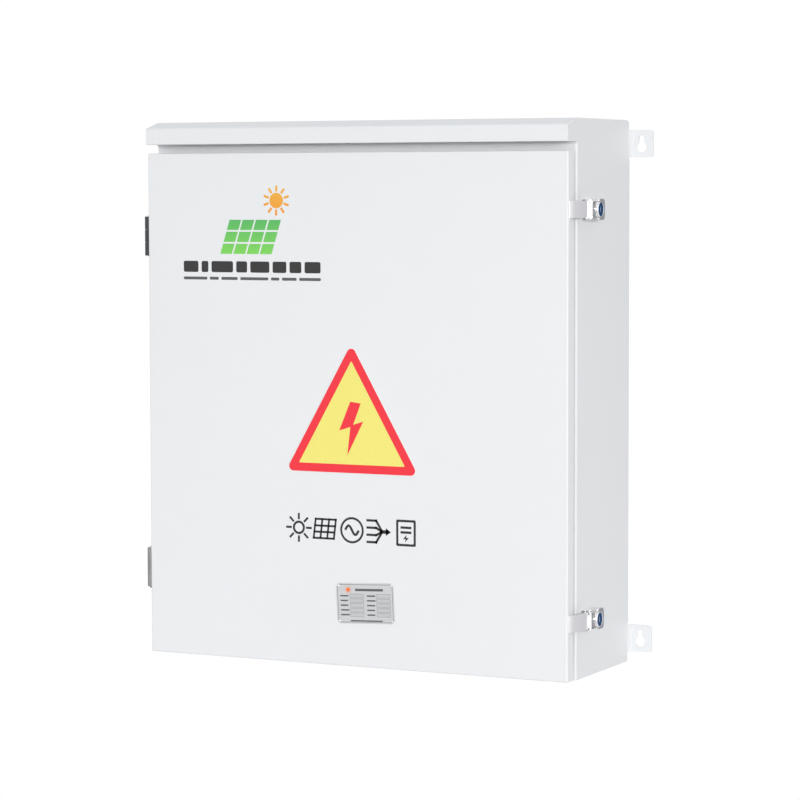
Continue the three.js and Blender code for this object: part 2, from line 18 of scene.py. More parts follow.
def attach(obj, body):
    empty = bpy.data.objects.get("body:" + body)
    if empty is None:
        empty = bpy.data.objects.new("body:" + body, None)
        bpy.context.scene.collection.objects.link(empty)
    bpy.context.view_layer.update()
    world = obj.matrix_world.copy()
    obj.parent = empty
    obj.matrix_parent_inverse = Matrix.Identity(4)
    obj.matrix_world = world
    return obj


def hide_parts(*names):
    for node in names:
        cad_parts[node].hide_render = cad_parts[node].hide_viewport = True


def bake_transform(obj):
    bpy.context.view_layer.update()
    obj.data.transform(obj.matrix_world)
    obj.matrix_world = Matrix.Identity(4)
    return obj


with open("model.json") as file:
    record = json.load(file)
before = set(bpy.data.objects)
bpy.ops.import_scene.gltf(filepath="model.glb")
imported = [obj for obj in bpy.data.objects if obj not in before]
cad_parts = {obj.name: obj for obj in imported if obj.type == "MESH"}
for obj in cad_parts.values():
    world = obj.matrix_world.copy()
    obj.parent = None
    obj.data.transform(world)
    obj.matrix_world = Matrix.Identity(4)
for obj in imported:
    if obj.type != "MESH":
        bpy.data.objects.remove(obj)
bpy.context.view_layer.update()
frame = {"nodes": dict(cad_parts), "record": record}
NODES = frame["nodes"]
MM = 0.001

# ------------------------------------------------------------------ driving dimensions
SHELL_SIDE = 300            # |x| of the enclosure's sides
SHELL_FRONT = -173.5        # y of the enclosure's front bends
SHELL_FLOOR = -350
HOOD_LIP = 320.75           # z of the hood's lower lip
DOOR_FACE = -200.0
DOOR_SIDE = 299.5
DOOR_BOTTOM, DOOR_TOP = -349, 309.5
DOOR_HEM = -180.5           # y of the door's rear hem
PLATE_FACE = -22            # y of the mounting plate's front

INPUT_X = (-150, -50, 50, 150)          # input breakers, left to right
INPUT_Z = -180
INPUT_POLES = (-25, 0, 25)              # x offsets of the poles from a breaker's middle
MAIN_X, MAIN_Z = -110, 150
MAIN_POLES = (-35, 0, 35)

RAIL_Z = 150
MODULE = 18                                             # width of one device on the rail
SURGE_BREAKER_X = [45 + MODULE * k for k in range(3)]
ARRESTER_X = [119 + MODULE * k for k in range(4)]

EARTH_BAR_X, NEUTRAL_BAR_X = -215, 15                   # left ends of the terminal bars
FIRST_TERMINAL = 28                                     # from a bar's end to its first screw
TERMINAL_Z = -286

PHASE_COLOURS = ("pvc_yellow", "pvc_green", "pvc_red")
HINGES_Z = (201, -239.5)
LATCHES_Z = {"upper": 236.75, "lower": -276.25}
STRAP_Z = -60


# ------------------------------------------------------------------ node helpers
def feed(tree, socket, value):
    """Link another socket into `socket`, or set its value; colours get full alpha."""
    if isinstance(value, bpy.types.NodeSocket):
        tree.links.new(value, socket)
    elif socket.type == "RGBA":
        socket.default_value = (*value, 1)
    else:
        socket.default_value = value


def add_node(tree, kind, inputs=None, **settings):
    """Add a node, set its properties, then feed its inputs by name or index."""
    node = tree.nodes.new(kind)
    for key, value in settings.items():
        setattr(node, key, value)
    for key, value in (inputs or {}).items():
        feed(tree, node.inputs[key], value)
    return node


def math_node(tree, operation, *values):
    return add_node(tree, "ShaderNodeMath", dict(enumerate(values)),
                    operation=operation).outputs[0]


def map_range(tree, value, low=0.0, high=1.0, from_low=0.0, from_high=1.0):
    return add_node(tree, "ShaderNodeMapRange", {
        "Value": value, "From Min": from_low, "From Max": from_high,
        "To Min": low, "To Max": high}).outputs[0]


def colour_ramp(tree, factor, stops):
    """Stops are (position, colour)."""
    node = add_node(tree, "ShaderNodeValToRGB", {"Fac": factor})
    elements = node.color_ramp.elements
    while len(elements) < len(stops):
        elements.new(0.5)
    for element, (position, colour) in zip(elements, stops):
        element.position = position
        element.color = (*colour, 1)
    return node.outputs["Color"]


def mix_colour(tree, factor, first, second, blend="MIX"):
    # sockets 6 and 7 are the colour inputs A and B
    return add_node(tree, "ShaderNodeMix", {0: factor, 6: first, 7: second},
                    data_type="RGBA", blend_type=blend).outputs[2]


def mix_shader(tree, factor, first, second):
    return add_node(tree, "ShaderNodeMixShader", {0: factor, 1: first, 2: second}).outputs[0]


# ------------------------------------------------------------------ materials
MATERIALS = {}


def tint(colour, factor):
    return tuple(min(1.0, channel * factor) for channel in colour)


class Material:
    """Builds a node graph round one Principled shader, textured in object coordinates (metres)."""

    def __init__(self, name):
        material = bpy.data.materials.new(name)
        material.use_nodes = True
        MATERIALS[name] = material
        self.tree = material.node_tree
        self.tree.nodes.clear()
        self.output = add_node(self.tree, "ShaderNodeOutputMaterial")
        self.shader = add_node(self.tree, "ShaderNodeBsdfPrincipled")
        self.surface(self.shader.outputs[0])
        self.coords = add_node(self.tree, "ShaderNodeTexCoord").outputs["Object"]

    def surface(self, shader):
        feed(self.tree, self.output.inputs[0], shader)

    def put(self, key, value):
        feed(self.tree, self.shader.inputs[key], value)

    def scaled(self, x, y, z):
        return add_node(self.tree, "ShaderNodeMapping",
                        {"Vector": self.coords, "Scale": (x, y, z)}).outputs[0]

    def noise(self, scale, detail=2.0, roughness=0.5, vector=None):
        return add_node(self.tree, "ShaderNodeTexNoise", {
            "Vector": vector or self.coords, "Scale": scale,
            "Detail": detail, "Roughness": roughness}).outputs["Fac"]

    def diagonal_wave(self, scale, distortion, detail, vector=None):
        return add_node(self.tree, "ShaderNodeTexWave", {
            "Vector": vector or self.coords, "Scale": scale,
            "Distortion": distortion, "Detail": detail},
            bands_direction="DIAGONAL").outputs["Fac"]

    def remap(self, factor, low, high, **source):
        return map_range(self.tree, factor, low, high, **source)

    def ramp(self, factor, *stops):
        return colour_ramp(self.tree, factor, stops)

    def mottle(self, factor, base, dark, light, start=0.3, end=0.7):
        """The base colour, multiplied by `dark` up to `start` and by `light` from `end`."""
        return self.ramp(factor, (start, tint(base, dark)), (end, tint(base, light)))

    def mix(self, factor, first, second):
        return mix_colour(self.tree, factor, first, second)

    def roughness(self, factor, low, high):
        """Roughness following a noise, whose values lie mostly between 0.3 and 0.7."""
        self.put("Roughness", self.remap(factor, low, high, from_low=0.3, from_high=0.7))

    def bump(self, height, strength, distance, under=None):
        """Relief of the given depth (metres), laid over the bump `under` if there is one."""
        inputs = {"Strength": strength, "Distance": distance, "Height": height}
        if under is not None:
            inputs["Normal"] = under
        normal = add_node(self.tree, "ShaderNodeBump", inputs).outputs[0]
        self.put("Normal", normal)
        return normal

    def switch(self, ray, others, shown):
        """Show `shown` to rays of one light-path kind and `others` to the rest."""
        path = add_node(self.tree, "ShaderNodeLightPath")
        self.surface(mix_shader(self.tree, path.outputs[ray], others, shown))


def powder_coat():
    coat = Material("powder_coat")
    clouds = coat.noise(scale=2.2, detail=3)
    coat.put("Base Color", coat.mottle(clouds, (0.768, 0.782, 0.796), dark=0.985, light=1.01))
    coat.roughness(coat.noise(scale=60, detail=3, roughness=0.6), low=0.47, high=0.54)
    coat.put("Specular IOR Level", 0.5)
    peel = coat.bump(coat.noise(scale=420, roughness=0.55), strength=0.10, distance=0.00012)
    coat.bump(coat.noise(scale=1500, detail=1), strength=0.05, distance=0.00005, under=peel)


def plated_metal(name, base, roughness, blotch):
    metal = Material(name)
    clouds = metal.noise(scale=35, detail=4, roughness=0.6)
    metal.put("Base Color", metal.mottle(clouds, base, dark=1 - blotch * 2, light=1 + blotch,
                                         start=0.25, end=0.75))
    metal.put("Metallic", 1.0)
    metal.roughness(metal.noise(scale=120, detail=4, roughness=0.6),
                    low=roughness * 0.85, high=roughness * 1.25)
    metal.bump(metal.noise(scale=900), strength=0.04, distance=0.00004)


def polished_metal(name, base, roughness):
    """Polished plating: faint flow clouds, no visible grain."""
    metal = Material(name)
    clouds = metal.noise(scale=18, detail=3)
    metal.put("Base Color", metal.mottle(clouds, base, dark=0.98, light=1.015))
    metal.put("Metallic", 1.0)
    metal.roughness(metal.noise(scale=45, detail=3), low=roughness - 0.02, high=roughness + 0.03)
    metal.bump(metal.noise(scale=70), strength=0.02, distance=0.00004)


def plastic(name, base, roughness, grain, grain_scale=1800, specular=0.5, variation=0.04):
    body = Material(name)
    clouds = body.noise(scale=25, detail=3)
    body.put("Base Color", body.mottle(clouds, base, dark=1 - variation, light=1 + variation))
    body.roughness(body.noise(scale=200, detail=3, roughness=0.6),
                   low=roughness - 0.05, high=roughness + 0.06)
    body.put("Specular IOR Level", specular)
    body.bump(body.noise(scale=grain_scale, roughness=0.6), strength=grain, distance=0.00006)


def galvanised_sheet():
    """Zinc spangle: flat cells of slightly different grey."""
    sheet = Material("galvanised_sheet")
    cells = add_node(sheet.tree, "ShaderNodeTexVoronoi", {"Vector": sheet.coords, "Scale": 95})
    spangle = add_node(sheet.tree, "ShaderNodeSeparateColor",
                       {0: cells.outputs["Color"]}).outputs[0]
    greys = sheet.ramp(spangle, (0.0, (0.46, 0.475, 0.49)), (1.0, (0.66, 0.67, 0.68)))
    wear = sheet.remap(sheet.noise(scale=9, detail=3), low=0.0, high=0.35)
    sheet.put("Base Color", sheet.mix(wear, greys, (0.55, 0.56, 0.57)))
    sheet.put("Metallic", 0.9)
    sheet.put("Roughness", sheet.remap(spangle, low=0.34, high=0.52))
    sheet.bump(sheet.noise(scale=260, detail=3, roughness=0.6), strength=0.05, distance=0.00006)


def brushed_bar(name, base, roughness):
    """Metal with fine streaks along x."""
    bar = Material(name)
    streaks = bar.noise(scale=1, detail=4, roughness=0.65, vector=bar.scaled(20, 900, 900))
    clouds = bar.noise(scale=18, detail=3, roughness=0.6)
    bar.put("Base Color", bar.mix(0.35, bar.mottle(streaks, base, dark=0.86, light=1.08),
                                  bar.mottle(clouds, base, dark=0.9, light=1.05)))
    bar.put("Metallic", 1.0)
    bar.roughness(streaks, low=roughness - 0.08, high=roughness + 0.12)
    bar.bump(streaks, strength=0.12, distance=0.00004)


def breaker_black():
    """Dark moulding compound with pale specks."""
    base = (0.035, 0.037, 0.042)
    body = Material("breaker_black")
    clouds = body.mottle(body.noise(scale=14, detail=4, roughness=0.55), base,
                         dark=0.88, light=1.12)
    specks = body.remap(body.noise(scale=900, detail=1, roughness=0.4),
                        low=0, high=0.25, from_low=0.62, from_high=0.8)
    body.put("Base Color", body.mix(specks, clouds, tint(base, 2.2)))
    body.roughness(body.noise(scale=70, detail=4, roughness=0.6), low=0.40, high=0.55)
    body.bump(body.noise(scale=1300, roughness=0.6), strength=0.22, distance=0.00006)


def clear_guard():
    guard = Material("clear_guard")
    guard.put("Base Color", (0.93, 0.96, 0.97))
    guard.put("Transmission Weight", 0.96)
    guard.put("IOR", 1.2)
    guard.roughness(guard.noise(scale=40, detail=3), low=0.02, high=0.07)
    guard.bump(guard.noise(scale=6), strength=0.03, distance=0.0005)
    # light passes the thin sheet without casting dark shadows
    see_through = add_node(guard.tree, "ShaderNodeBsdfTransparent", {0: (0.94, 0.96, 0.97)})
    guard.switch("Is Shadow Ray", others=guard.shader.outputs[0], shown=see_through.outputs[0])


def copper_braid():
    """Two diagonal waves, mirrored in z, multiplied into a weave."""
    braid = Material("copper_braid")
    strands = dict(scale=420, distortion=1.2, detail=2)
    weave = math_node(braid.tree, "MULTIPLY", braid.diagonal_wave(**strands),
                      braid.diagonal_wave(**strands, vector=braid.scaled(1, 1, -1)))
    braid.put("Base Color", braid.ramp(
        weave, (0.0, (0.20, 0.11, 0.07)), (0.6, (0.80, 0.62, 0.50)), (1.0, (0.92, 0.80, 0.70))))
    braid.put("Metallic", 0.95)
    braid.put("Roughness", 0.38)
    braid.bump(weave, strength=0.6, distance=0.0003)


def ink(name, base, roughness, upper=None, fade=(0.0, 1.0)):
    """Printed colour, faintly uneven; `upper` fades in between the two heights (metres)."""
    print_ = Material(name)
    colour = print_.mottle(print_.noise(scale=300, detail=3, roughness=0.6), base,
                           dark=0.985, light=1.012)
    if upper:
        height = add_node(print_.tree, "ShaderNodeSeparateXYZ", {0: print_.coords}).outputs[2]
        factor = print_.remap(height, low=0.0, high=1.0, from_low=fade[0], from_high=fade[1])
        colour = print_.mix(factor, colour, upper)
    print_.put("Base Color", colour)
    print_.roughness(print_.noise(scale=90, detail=3), low=roughness - 0.04,
                     high=roughness + 0.06)
    print_.put("Specular IOR Level", 0.4)
    print_.bump(print_.noise(scale=1100), strength=0.05, distance=0.00003)


def plate_silver():
    plate = Material("plate_silver")
    streaks = plate.noise(scale=1, detail=3, roughness=0.6, vector=plate.scaled(30, 1, 2600))
    plate.put("Base Color", plate.ramp(streaks, (0.3, (0.47, 0.48, 0.485)),
                                       (0.7, (0.60, 0.61, 0.61))))
    plate.put("Metallic", 0.35)
    plate.put("Roughness", plate.remap(streaks, low=0.34, high=0.46))
    plate.bump(streaks, strength=0.06, distance=0.00003)


def pvc_earth():
    """Green and yellow stripes."""
    pvc = Material("pvc_earth")
    stripes = pvc.diagonal_wave(scale=60, distortion=0.3, detail=1)
    pvc.put("Base Color", pvc.ramp(stripes, (0.48, (0.02, 0.30, 0.06)),
                                   (0.52, (0.80, 0.62, 0.02))))
    pvc.put("Roughness", 0.4)
    pvc.bump(pvc.noise(scale=700), strength=0.1, distance=0.00005)


def floor_pale():
    """Matt grey to diffuse rays, glowing white to all others."""
    pale = Material("floor_pale")
    pale.put("Base Color", pale.ramp(pale.noise(scale=3), (0.3, (0.80, 0.80, 0.80)),
                                     (0.7, (0.82, 0.82, 0.82))))
    pale.put("Roughness", 0.8)
    glow = add_node(pale.tree, "ShaderNodeEmission", {0: (1, 1, 1), 1: 1.0})
    pale.switch("Is Diffuse Ray", others=glow.outputs[0], shown=pale.shader.outputs[0])


# name, colour, roughness, depth of the blotches
PLATED_METALS = [
    ("zinc_plate", (0.66, 0.67, 0.69), 0.32, 0.03),
    # dark_zinc is near black as painted shade on the upper hinges; steel_zinc_mid, next, is a
    # lighter lit copy of the same plating for the lower hinges
    ("dark_zinc", (0.060, 0.062, 0.066), 0.40, 0.08),
    ("steel_zinc_mid", (0.280, 0.281, 0.284), 0.42, 0.06),
]
# name, colour, roughness
POLISHED_METALS = [
    ("latch_chrome", (0.83, 0.83, 0.845), 0.22),
    ("bright_chrome", (0.88, 0.88, 0.90), 0.14),
]
BRUSHED_BARS = [
    ("copper_bar", (0.86, 0.42, 0.24), 0.30),
    ("brass_bar", (0.78, 0.60, 0.28), 0.32),
]
# name, colour, roughness, grain strength, then where not usual: grain scale, specular, variation
PLASTICS = [
    ("key_blue", (0.003, 0.048, 0.150), 0.35, 0.06, 1800, 0.12),
    ("black_rubber", (0.018, 0.018, 0.020), 0.72, 0.35, 900, 0.3, 0.12),
    ("moulded_plastic", (0.62, 0.63, 0.62), 0.5, 0.15),
    ("toggle_black", (0.022, 0.022, 0.024), 0.38, 0.10),
    ("trip_red", (0.62, 0.03, 0.02), 0.32, 0.06),
    ("red_insulator", (0.42, 0.035, 0.025), 0.45, 0.25, 700, 0.5, 0.08),
    ("arrester_grey", (0.22, 0.24, 0.26), 0.5, 0.18),
    ("breaker_white", (0.66, 0.66, 0.64), 0.5, 0.18),
    ("toggle_blue", (0.02, 0.07, 0.24), 0.35, 0.08),
    ("label_grey", (0.50, 0.51, 0.52), 0.42, 0.05),
    ("label_white", (0.78, 0.79, 0.79), 0.4, 0.05),
    ("mark_white", (0.75, 0.75, 0.74), 0.5, 0.03),
    ("window_green", (0.03, 0.42, 0.10), 0.25, 0.03),
    ("paper", (0.80, 0.79, 0.75), 0.8, 0.25, 600, 0.2, 0.02),
]
PVC = {
    "pvc_black": (0.016, 0.016, 0.018), "pvc_yellow": (0.72, 0.50, 0.02),
    "pvc_green": (0.02, 0.27, 0.07), "pvc_red": (0.58, 0.02, 0.02),
    "pvc_blue": (0.02, 0.16, 0.48),
}
# name, colour, roughness, then for a fade: upper colour, heights in metres
INKS = [
    ("sign_white", (0.84, 0.84, 0.82), 0.35),
    ("print_yellow", (0.845, 0.765, 0.185), 0.35),
    ("print_red", (0.83, 0.030, 0.048), 0.35),
    ("print_black", (0.016, 0.015, 0.016), 0.42),
    ("print_grey", (0.09, 0.09, 0.095), 0.42),
    ("print_green", (0.20, 0.62, 0.10), 0.38, (0.01, 0.30, 0.12), (0.180, 0.255)),
    ("print_orange", (0.85, 0.16, 0.02), 0.38, (0.80, 0.42, 0.05), (0.190, 0.262)),
]


def make_materials():
    for recipe in (powder_coat, galvanised_sheet, breaker_black, clear_guard, copper_braid,
                   plate_silver, pvc_earth, floor_pale):
        recipe()
    for recipe, rows in ((plated_metal, PLATED_METALS), (polished_metal, POLISHED_METALS),
                         (plastic, PLASTICS), (brushed_bar, BRUSHED_BARS), (ink, INKS)):
        for row in rows:
            recipe(*row)
    for name, colour in PVC.items():
        plastic(name, colour, roughness=0.38, grain=0.10, grain_scale=700, variation=0.05)
    MATERIALS["sign_yellow"] = MATERIALS["sign_white"]


# ------------------------------------------------------------------ outlines
def rounded_polygon(corners, steps=5):
    """Outline through corners (u, v) or (u, v, radius)."""
    outline = []
    for i, corner in enumerate(corners):
        radius = corner[2] if len(corner) > 2 else 0
        if not radius:
            outline.append(corner[:2])
            continue
        tip = Vector(corner[:2])
        to_last = (Vector(corners[i - 1][:2]) - tip).normalized()
        to_next = (Vector(corners[(i + 1) % len(corners)][:2]) - tip).normalized()
        half = math.acos(max(-1, min(1, to_last.dot(to_next)))) / 2
        centre = tip + (to_last + to_next).normalized() * (radius / math.sin(half))
        reach = radius / math.tan(half)
        start = tip + to_last * reach - centre
        end = tip + to_next * reach - centre
        angle = math.atan2(start.y, start.x)
        sweep = math.atan2(end.y, end.x) - angle
        while sweep > math.pi:
            sweep -= 2 * math.pi
        while sweep < -math.pi:
            sweep += 2 * math.pi
        for j in range(steps + 1):
            turn = angle + sweep * j / steps
            outline.append((centre.x + radius * math.cos(turn),
                            centre.y + radius * math.sin(turn)))
    return outline


def rounded_rect(u0, u1, v0, v1, radius, steps=4):
    return rounded_polygon([(u0, v0, radius), (u1, v0, radius), (u1, v1, radius),
                            (u0, v1, radius)], steps)


def centred_rect(u, v, width, height, radius):
    return rounded_rect(u - width / 2, u + width / 2, v - height / 2, v + height / 2, radius)


def circle(u, v, radius, count=24, start=0.0):
    angles = [start + 2 * math.pi * i / count for i in range(count)]
    return [(u + radius * math.cos(a), v + radius * math.sin(a)) for a in angles]


def hexagon(u, v, across_flats, start=0.0):
    return circle(u, v, across_flats / math.sqrt(3), 6, start)


def stroke(start, end, width):
    """A straight bar between two points, its square ends half a width beyond them."""
    start, end = Vector(start), Vector(end)
    along = (end - start).normalized() * (width / 2)
    across = Vector((-along.y, along.x))
    return [tuple(start + across - along), tuple(start - across - along),
            tuple(end - across + along), tuple(end + across + along)]


def rays(count, inner, outer, width, start=0.0):
    """Strokes standing round the origin."""
    return [stroke(tip_in, tip_out, width) for tip_in, tip_out in
            zip(circle(0, 0, inner, count, start), circle(0, 0, outer, count, start))]


def place(outlines, u, v, size=1.0):
    """Scale outlines, or pairs of outline and hole, and move them to (u, v)."""
    def moved(loop):
        return [(u + size * a, v + size * b) for a, b in loop]
    return [tuple(map(moved, item)) if isinstance(item, tuple) else moved(item)
            for item in outlines]


def tangents(points):
    last = len(points) - 1
    return [(points[min(i + 1, last)] - points[max(i - 1, 0)]).normalized()
            for i in range(last + 1)]


def smooth_path(path, steps):
    """Catmull-Rom curve through the points."""
    p = [Vector(point) for point in path]
    p = [p[0] + (p[0] - p[1])] + p + [p[-1] + (p[-1] - p[-2])]
    curve = []
    for a, b, c, d in zip(p, p[1:], p[2:], p[3:]):
        for k in range(steps):
            t = k / steps
            curve.append(0.5 * ((2 * b) + (c - a) * t + (2 * a - 5 * b + 4 * c - d) * t * t
                                + (3 * b - a - 3 * c + d) * t ** 3))
    curve.append(p[-2])
    return curve


# ------------------------------------------------------------------ solids
def on_axis(axis, u, v, w):
    """Point at w along the axis; (u, v) are the other two coordinates in x, y, z order."""
    return {"z": (u, v, w), "y": (u, w, v), "x": (w, u, v)}[axis]


class Solid:
    """Collects closed solids, in millimetres, into one object."""

    def __init__(self):
        self.mesh = bmesh.new()

    def _add(self, mesh, bevel=0.0):
        bmesh.ops.recalc_face_normals(mesh, faces=mesh.faces)
        if bevel > 0:
            edges = [edge for edge in mesh.edges if len(edge.link_faces) == 2
                     and edge.calc_face_angle(0) > math.radians(30)]
            bmesh.ops.bevel(mesh, geom=edges, offset=bevel, segments=2, profile=0.5,
                            affect="EDGES", clamp_overlap=True)
        piece = bpy.data.meshes.new("piece")
        mesh.to_mesh(piece)
        mesh.free()
        self.mesh.from_mesh(piece)
        bpy.data.meshes.remove(piece)

    def loft(self, rings, bevel=0.0, closed=False):
        """Skin over rings of equal count: capped at the ends, or closed back on the first."""
        mesh = bmesh.new()
        loops = [[mesh.verts.new(point) for point in ring] for ring in rings]
        followers = loops[1:] + (loops[:1] if closed else [])
        for low, high in zip(loops, followers):
            for i in range(len(low)):
                j = (i + 1) % len(low)
                mesh.faces.new((low[i], low[j], high[j], high[i]))
        if not closed:
            mesh.faces.new(loops[0])
            mesh.faces.new(loops[-1])
        self._add(mesh, bevel)

    def prism(self, axis, outline, start, end, bevel=0.0, hole=None):
        """Outline extruded along the axis; the hole has the same count of points."""
        def ring(loop, w):
            return [on_axis(axis, u, v, w) for u, v in loop]
        rings = [ring(outline, start), ring(outline, end)]
        if hole is not None:
            rings += [ring(hole, end), ring(hole, start)]
        self.loft(rings, bevel, closed=hole is not None)

    def box(self, x0, x1, y0, y1, z0, z1, bevel):
        self.prism("z", [(x0, y0), (x1, y0), (x1, y1), (x0, y1)], z0, z1, bevel)

    def lathe(self, axis, u, v, profile, count=24):
        """Revolves (radius, position) about a line through (u, v); radius 0 closes an end."""
        mesh = bmesh.new()
        rings = []
        for radius, w in profile:
            outline = circle(u, v, radius, count) if radius > 0 else [(u, v)]
            rings.append([mesh.verts.new(on_axis(axis, a, b, w)) for a, b in outline])
        for low, high in zip(rings, rings[1:]):
            for i in range(count):
                j = (i + 1) % count
                if len(low) == 1:
                    mesh.faces.new((low[0], high[j], high[i]))
                elif len(high) == 1:
                    mesh.faces.new((low[i], low[j], high[0]))
                else:
                    mesh.faces.new((low[i], low[j], high[j], high[i]))
        self._add(mesh)

    def tube(self, path, radius, count):
        """A round cable along the smoothed path."""
        points = smooth_path(path, steps=6)
        rings = []
        up = None
        for point, along in zip(points, tangents(points)):
            if up is None:
                up = along.orthogonal().normalized()
            up = (up - along * up.dot(along)).normalized()
            side = along.cross(up)
            rings.append([point + (up * a + side * b) * radius
                          for a, b in circle(0, 0, 1, count)])
        self.loft(rings)

    def nut(self, axis, u, v, face, sign, across_flats=10, thickness=5, washer=8.5):
        """Washer and hexagon nut standing on `face`, towards `sign` along the axis."""
        seat = face + sign * 1.3
        self.prism(axis, circle(u, v, washer, 28), *sorted((face, seat)), 0.25)
        self.prism(axis, hexagon(u, v, across_flats, 0.2),
                   *sorted((seat, seat + sign * thickness)), 0.6)

    def pan_screw(self, axis, u, v, face, sign, radius=3.4, height=2.0):
        """Pan head with a dished recess."""
        # fractions of the radius and of the height
        profile = [(0, 0), (1, 0), (1, 0.45), (0.84, 0.86), (0.55, 1), (0.42, 0.98),
                   (0.16, 0.45), (0, 0.45)]
        self.lathe(axis, u, v, [(radius * r, face + sign * height * h) for r, h in profile], 20)

    def make(self, name, material, body=None):
        data = bpy.data.meshes.new(name)
        mesh = self.mesh
        mesh.transform(Matrix.Scale(MM, 4))
        bmesh.ops.remove_doubles(mesh, verts=mesh.verts, dist=1e-7)
        bmesh.ops.dissolve_degenerate(mesh, edges=mesh.edges, dist=1e-7)
        bmesh.ops.recalc_face_normals(mesh, faces=mesh.faces)
        for face in mesh.faces:
            face.smooth = True
        for edge in mesh.edges:
            if len(edge.link_faces) == 2:
                edge.smooth = edge.calc_face_angle(0) < math.radians(40)
        mesh.to_mesh(data)
        mesh.free()
        item = bpy.data.objects.new(name, data)
        bpy.context.scene.collection.objects.link(item)
        data.materials.append(MATERIALS[material])
        if body:
            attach(item, body)
        return item


# ------------------------------------------------------------------ CAD pieces: softened edges
def geometry_group(name):
    """An empty geometry node group, with its input socket and its output node."""
    group = bpy.data.node_groups.new(name, "GeometryNodeTree")
    for direction in ("INPUT", "OUTPUT"):
        group.interface.new_socket("Geometry", in_out=direction,
                                   socket_type="NodeSocketGeometry")
    source = add_node(group, "NodeGroupInput").outputs[0]
    return group, source, add_node(group, "NodeGroupOutput")


def drop_normals(group, geometry):
    return add_node(group, "GeometryNodeRemoveAttribute",
                    {0: geometry, "Name": "custom_normal"}).outputs[0]


def weld_group():
    """Weld coincident points (distance in metres) and drop the stored normals."""
    group, source, output = geometry_group("weld_clean")
    merged = add_node(group, "GeometryNodeMergeByDistance", {0: source, "Distance": 2e-6})
    feed(group, output.inputs[0], drop_normals(group, merged.outputs[0]))
    return group


def smooth_group():
    """Drop the stored normals and shade smooth across angles under 35 degrees."""
    group, source, output = geometry_group("smooth_by_angle")
    faces = add_node(group, "GeometryNodeSetShadeSmooth", {
        "Geometry": drop_normals(group, source), "Shade Smooth": True}, domain="FACE")
    angle = add_node(group, "GeometryNodeInputMeshEdgeAngle").outputs["Unsigned Angle"]
    shallow = add_node(group, "FunctionNodeCompare", {0: angle, 1: math.radians(35)},
                       data_type="FLOAT", operation="LESS_THAN")
    edges = add_node(group, "GeometryNodeSetShadeSmooth", {
        "Geometry": faces.outputs[0], "Shade Smooth": shallow.outputs[0]}, domain="EDGE")
    feed(group, output.inputs[0], edges.outputs[0])
    return group


def bend_group(name, rules, fine):
    """Bevel weights for folded sheet: `fine` on every angled edge, and on the edges inside a
    rule's box (|x|, y, z) that rule's weight. Weight 0 leaves an edge sharp."""
    group, source, output = geometry_group(name)
    ends = add_node(group, "GeometryNodeInputMeshEdgeVertices")
    places = [add_node(group, "ShaderNodeSeparateXYZ", {0: ends.outputs[key]})
              for key in ("Position 1", "Position 2")]

    def calc(operation, *values):
        return math_node(group, operation, *values)

    angle = add_node(group, "GeometryNodeInputMeshEdgeAngle").outputs["Unsigned Angle"]
    weight = calc("MULTIPLY", calc("GREATER_THAN", angle, math.radians(28)), fine)
    for low, high, rule_weight in rules:
        inside = None
        for end in places:
            for i in range(3):
                value = end.outputs[i]
                if i == 0:
                    value = calc("ABSOLUTE", value)
                within = calc("MULTIPLY", calc("GREATER_THAN", value, low[i] * MM),
                              calc("LESS_THAN", value, high[i] * MM))
                inside = within if inside is None else calc("MULTIPLY", inside, within)
        inside = calc("MULTIPLY", inside, calc("GREATER_THAN", angle, math.radians(12)))
        if rule_weight == 0:
            weight = calc("MULTIPLY", weight, calc("SUBTRACT", 1.0, inside))
        else:
            weight = calc("MAXIMUM", weight, calc("MULTIPLY", inside, rule_weight))
    store = add_node(group, "GeometryNodeStoreNamedAttribute", {
        "Name": "bevel_weight_edge", "Geometry": source, "Value": weight},
        data_type="FLOAT", domain="EDGE")
    feed(group, output.inputs[0], store.outputs[0])
    return group


def round_bends(node, rules, width, fine):
    """Turn a piece's plain bevel into one that rounds its sheet-metal bends to `width`."""
    modifiers = NODES[node].modifiers
    bevel = modifiers["edges"]
    bevel.width = width * MM
    bevel.segments = 4
    bevel.limit_method = "WEIGHT"
    bevel.use_clamp_overlap = False
    modifiers.new("bends", "NODES").node_group = bend_group(node + "_bends", rules, fine / width)
    modifiers.move(modifiers.find("bends"), modifiers.find("edges"))


# pieces left out of the joining of flat faces, which would make them fold under the bevel
KEEP_FACES = ("busbar_guard", "cable_membrane", "document_pocket", "door_gasket", "door_panel",
              "hinge_body_leaf", "hinge_pin", "input_breaker", "input_toggle", "latch_base",
              "main_breaker", "main_toggle", "surge_breaker")

# bevel widths by whole name, then by the first prefix that fits
BEVEL_BY_NAME = {
    "enclosure_shell": 0.45, "door_panel": 0.45, "door_gasket": 1.5, "document_pocket": 0.6,
    "mounting_plate": 0.5, "gland_plate": 0.5, "cable_membrane": 0.6, "warning_sign": 0.12,
    "rating_plate": 0.15, "busbar_guard": 0.3, "din_rail": 0.25,
}
BEVEL_BY_PREFIX = {
    "wall_tab_bolt": 0.5, "wall_tab": 0.45, "hinge_pin": 0.4, "hinge_": 0.5,
    "latch_base": 0.45, "latch_pin": 0.35, "latch_lever": 0.5, "latch_claw": 0.5,
    "latch_key": 0.3, "latch_keeper": 0.35, "input_breaker": 0.8, "input_toggle": 0.8,
    "main_breaker": 1.0, "main_toggle": 1.0, "main_trip": 0.4, "busbar_support": 0.9,
    "busbar_": 0.6, "surge_breaker_toggle": 0.5, "surge_": 0.7, "neutral_bar": 0,
}
USUAL_BEVEL = 0.4


def bevel_width(node):
    by_prefix = (width for prefix, width in BEVEL_BY_PREFIX.items() if node.startswith(prefix))
    return BEVEL_BY_NAME.get(node, next(by_prefix, USUAL_BEVEL))


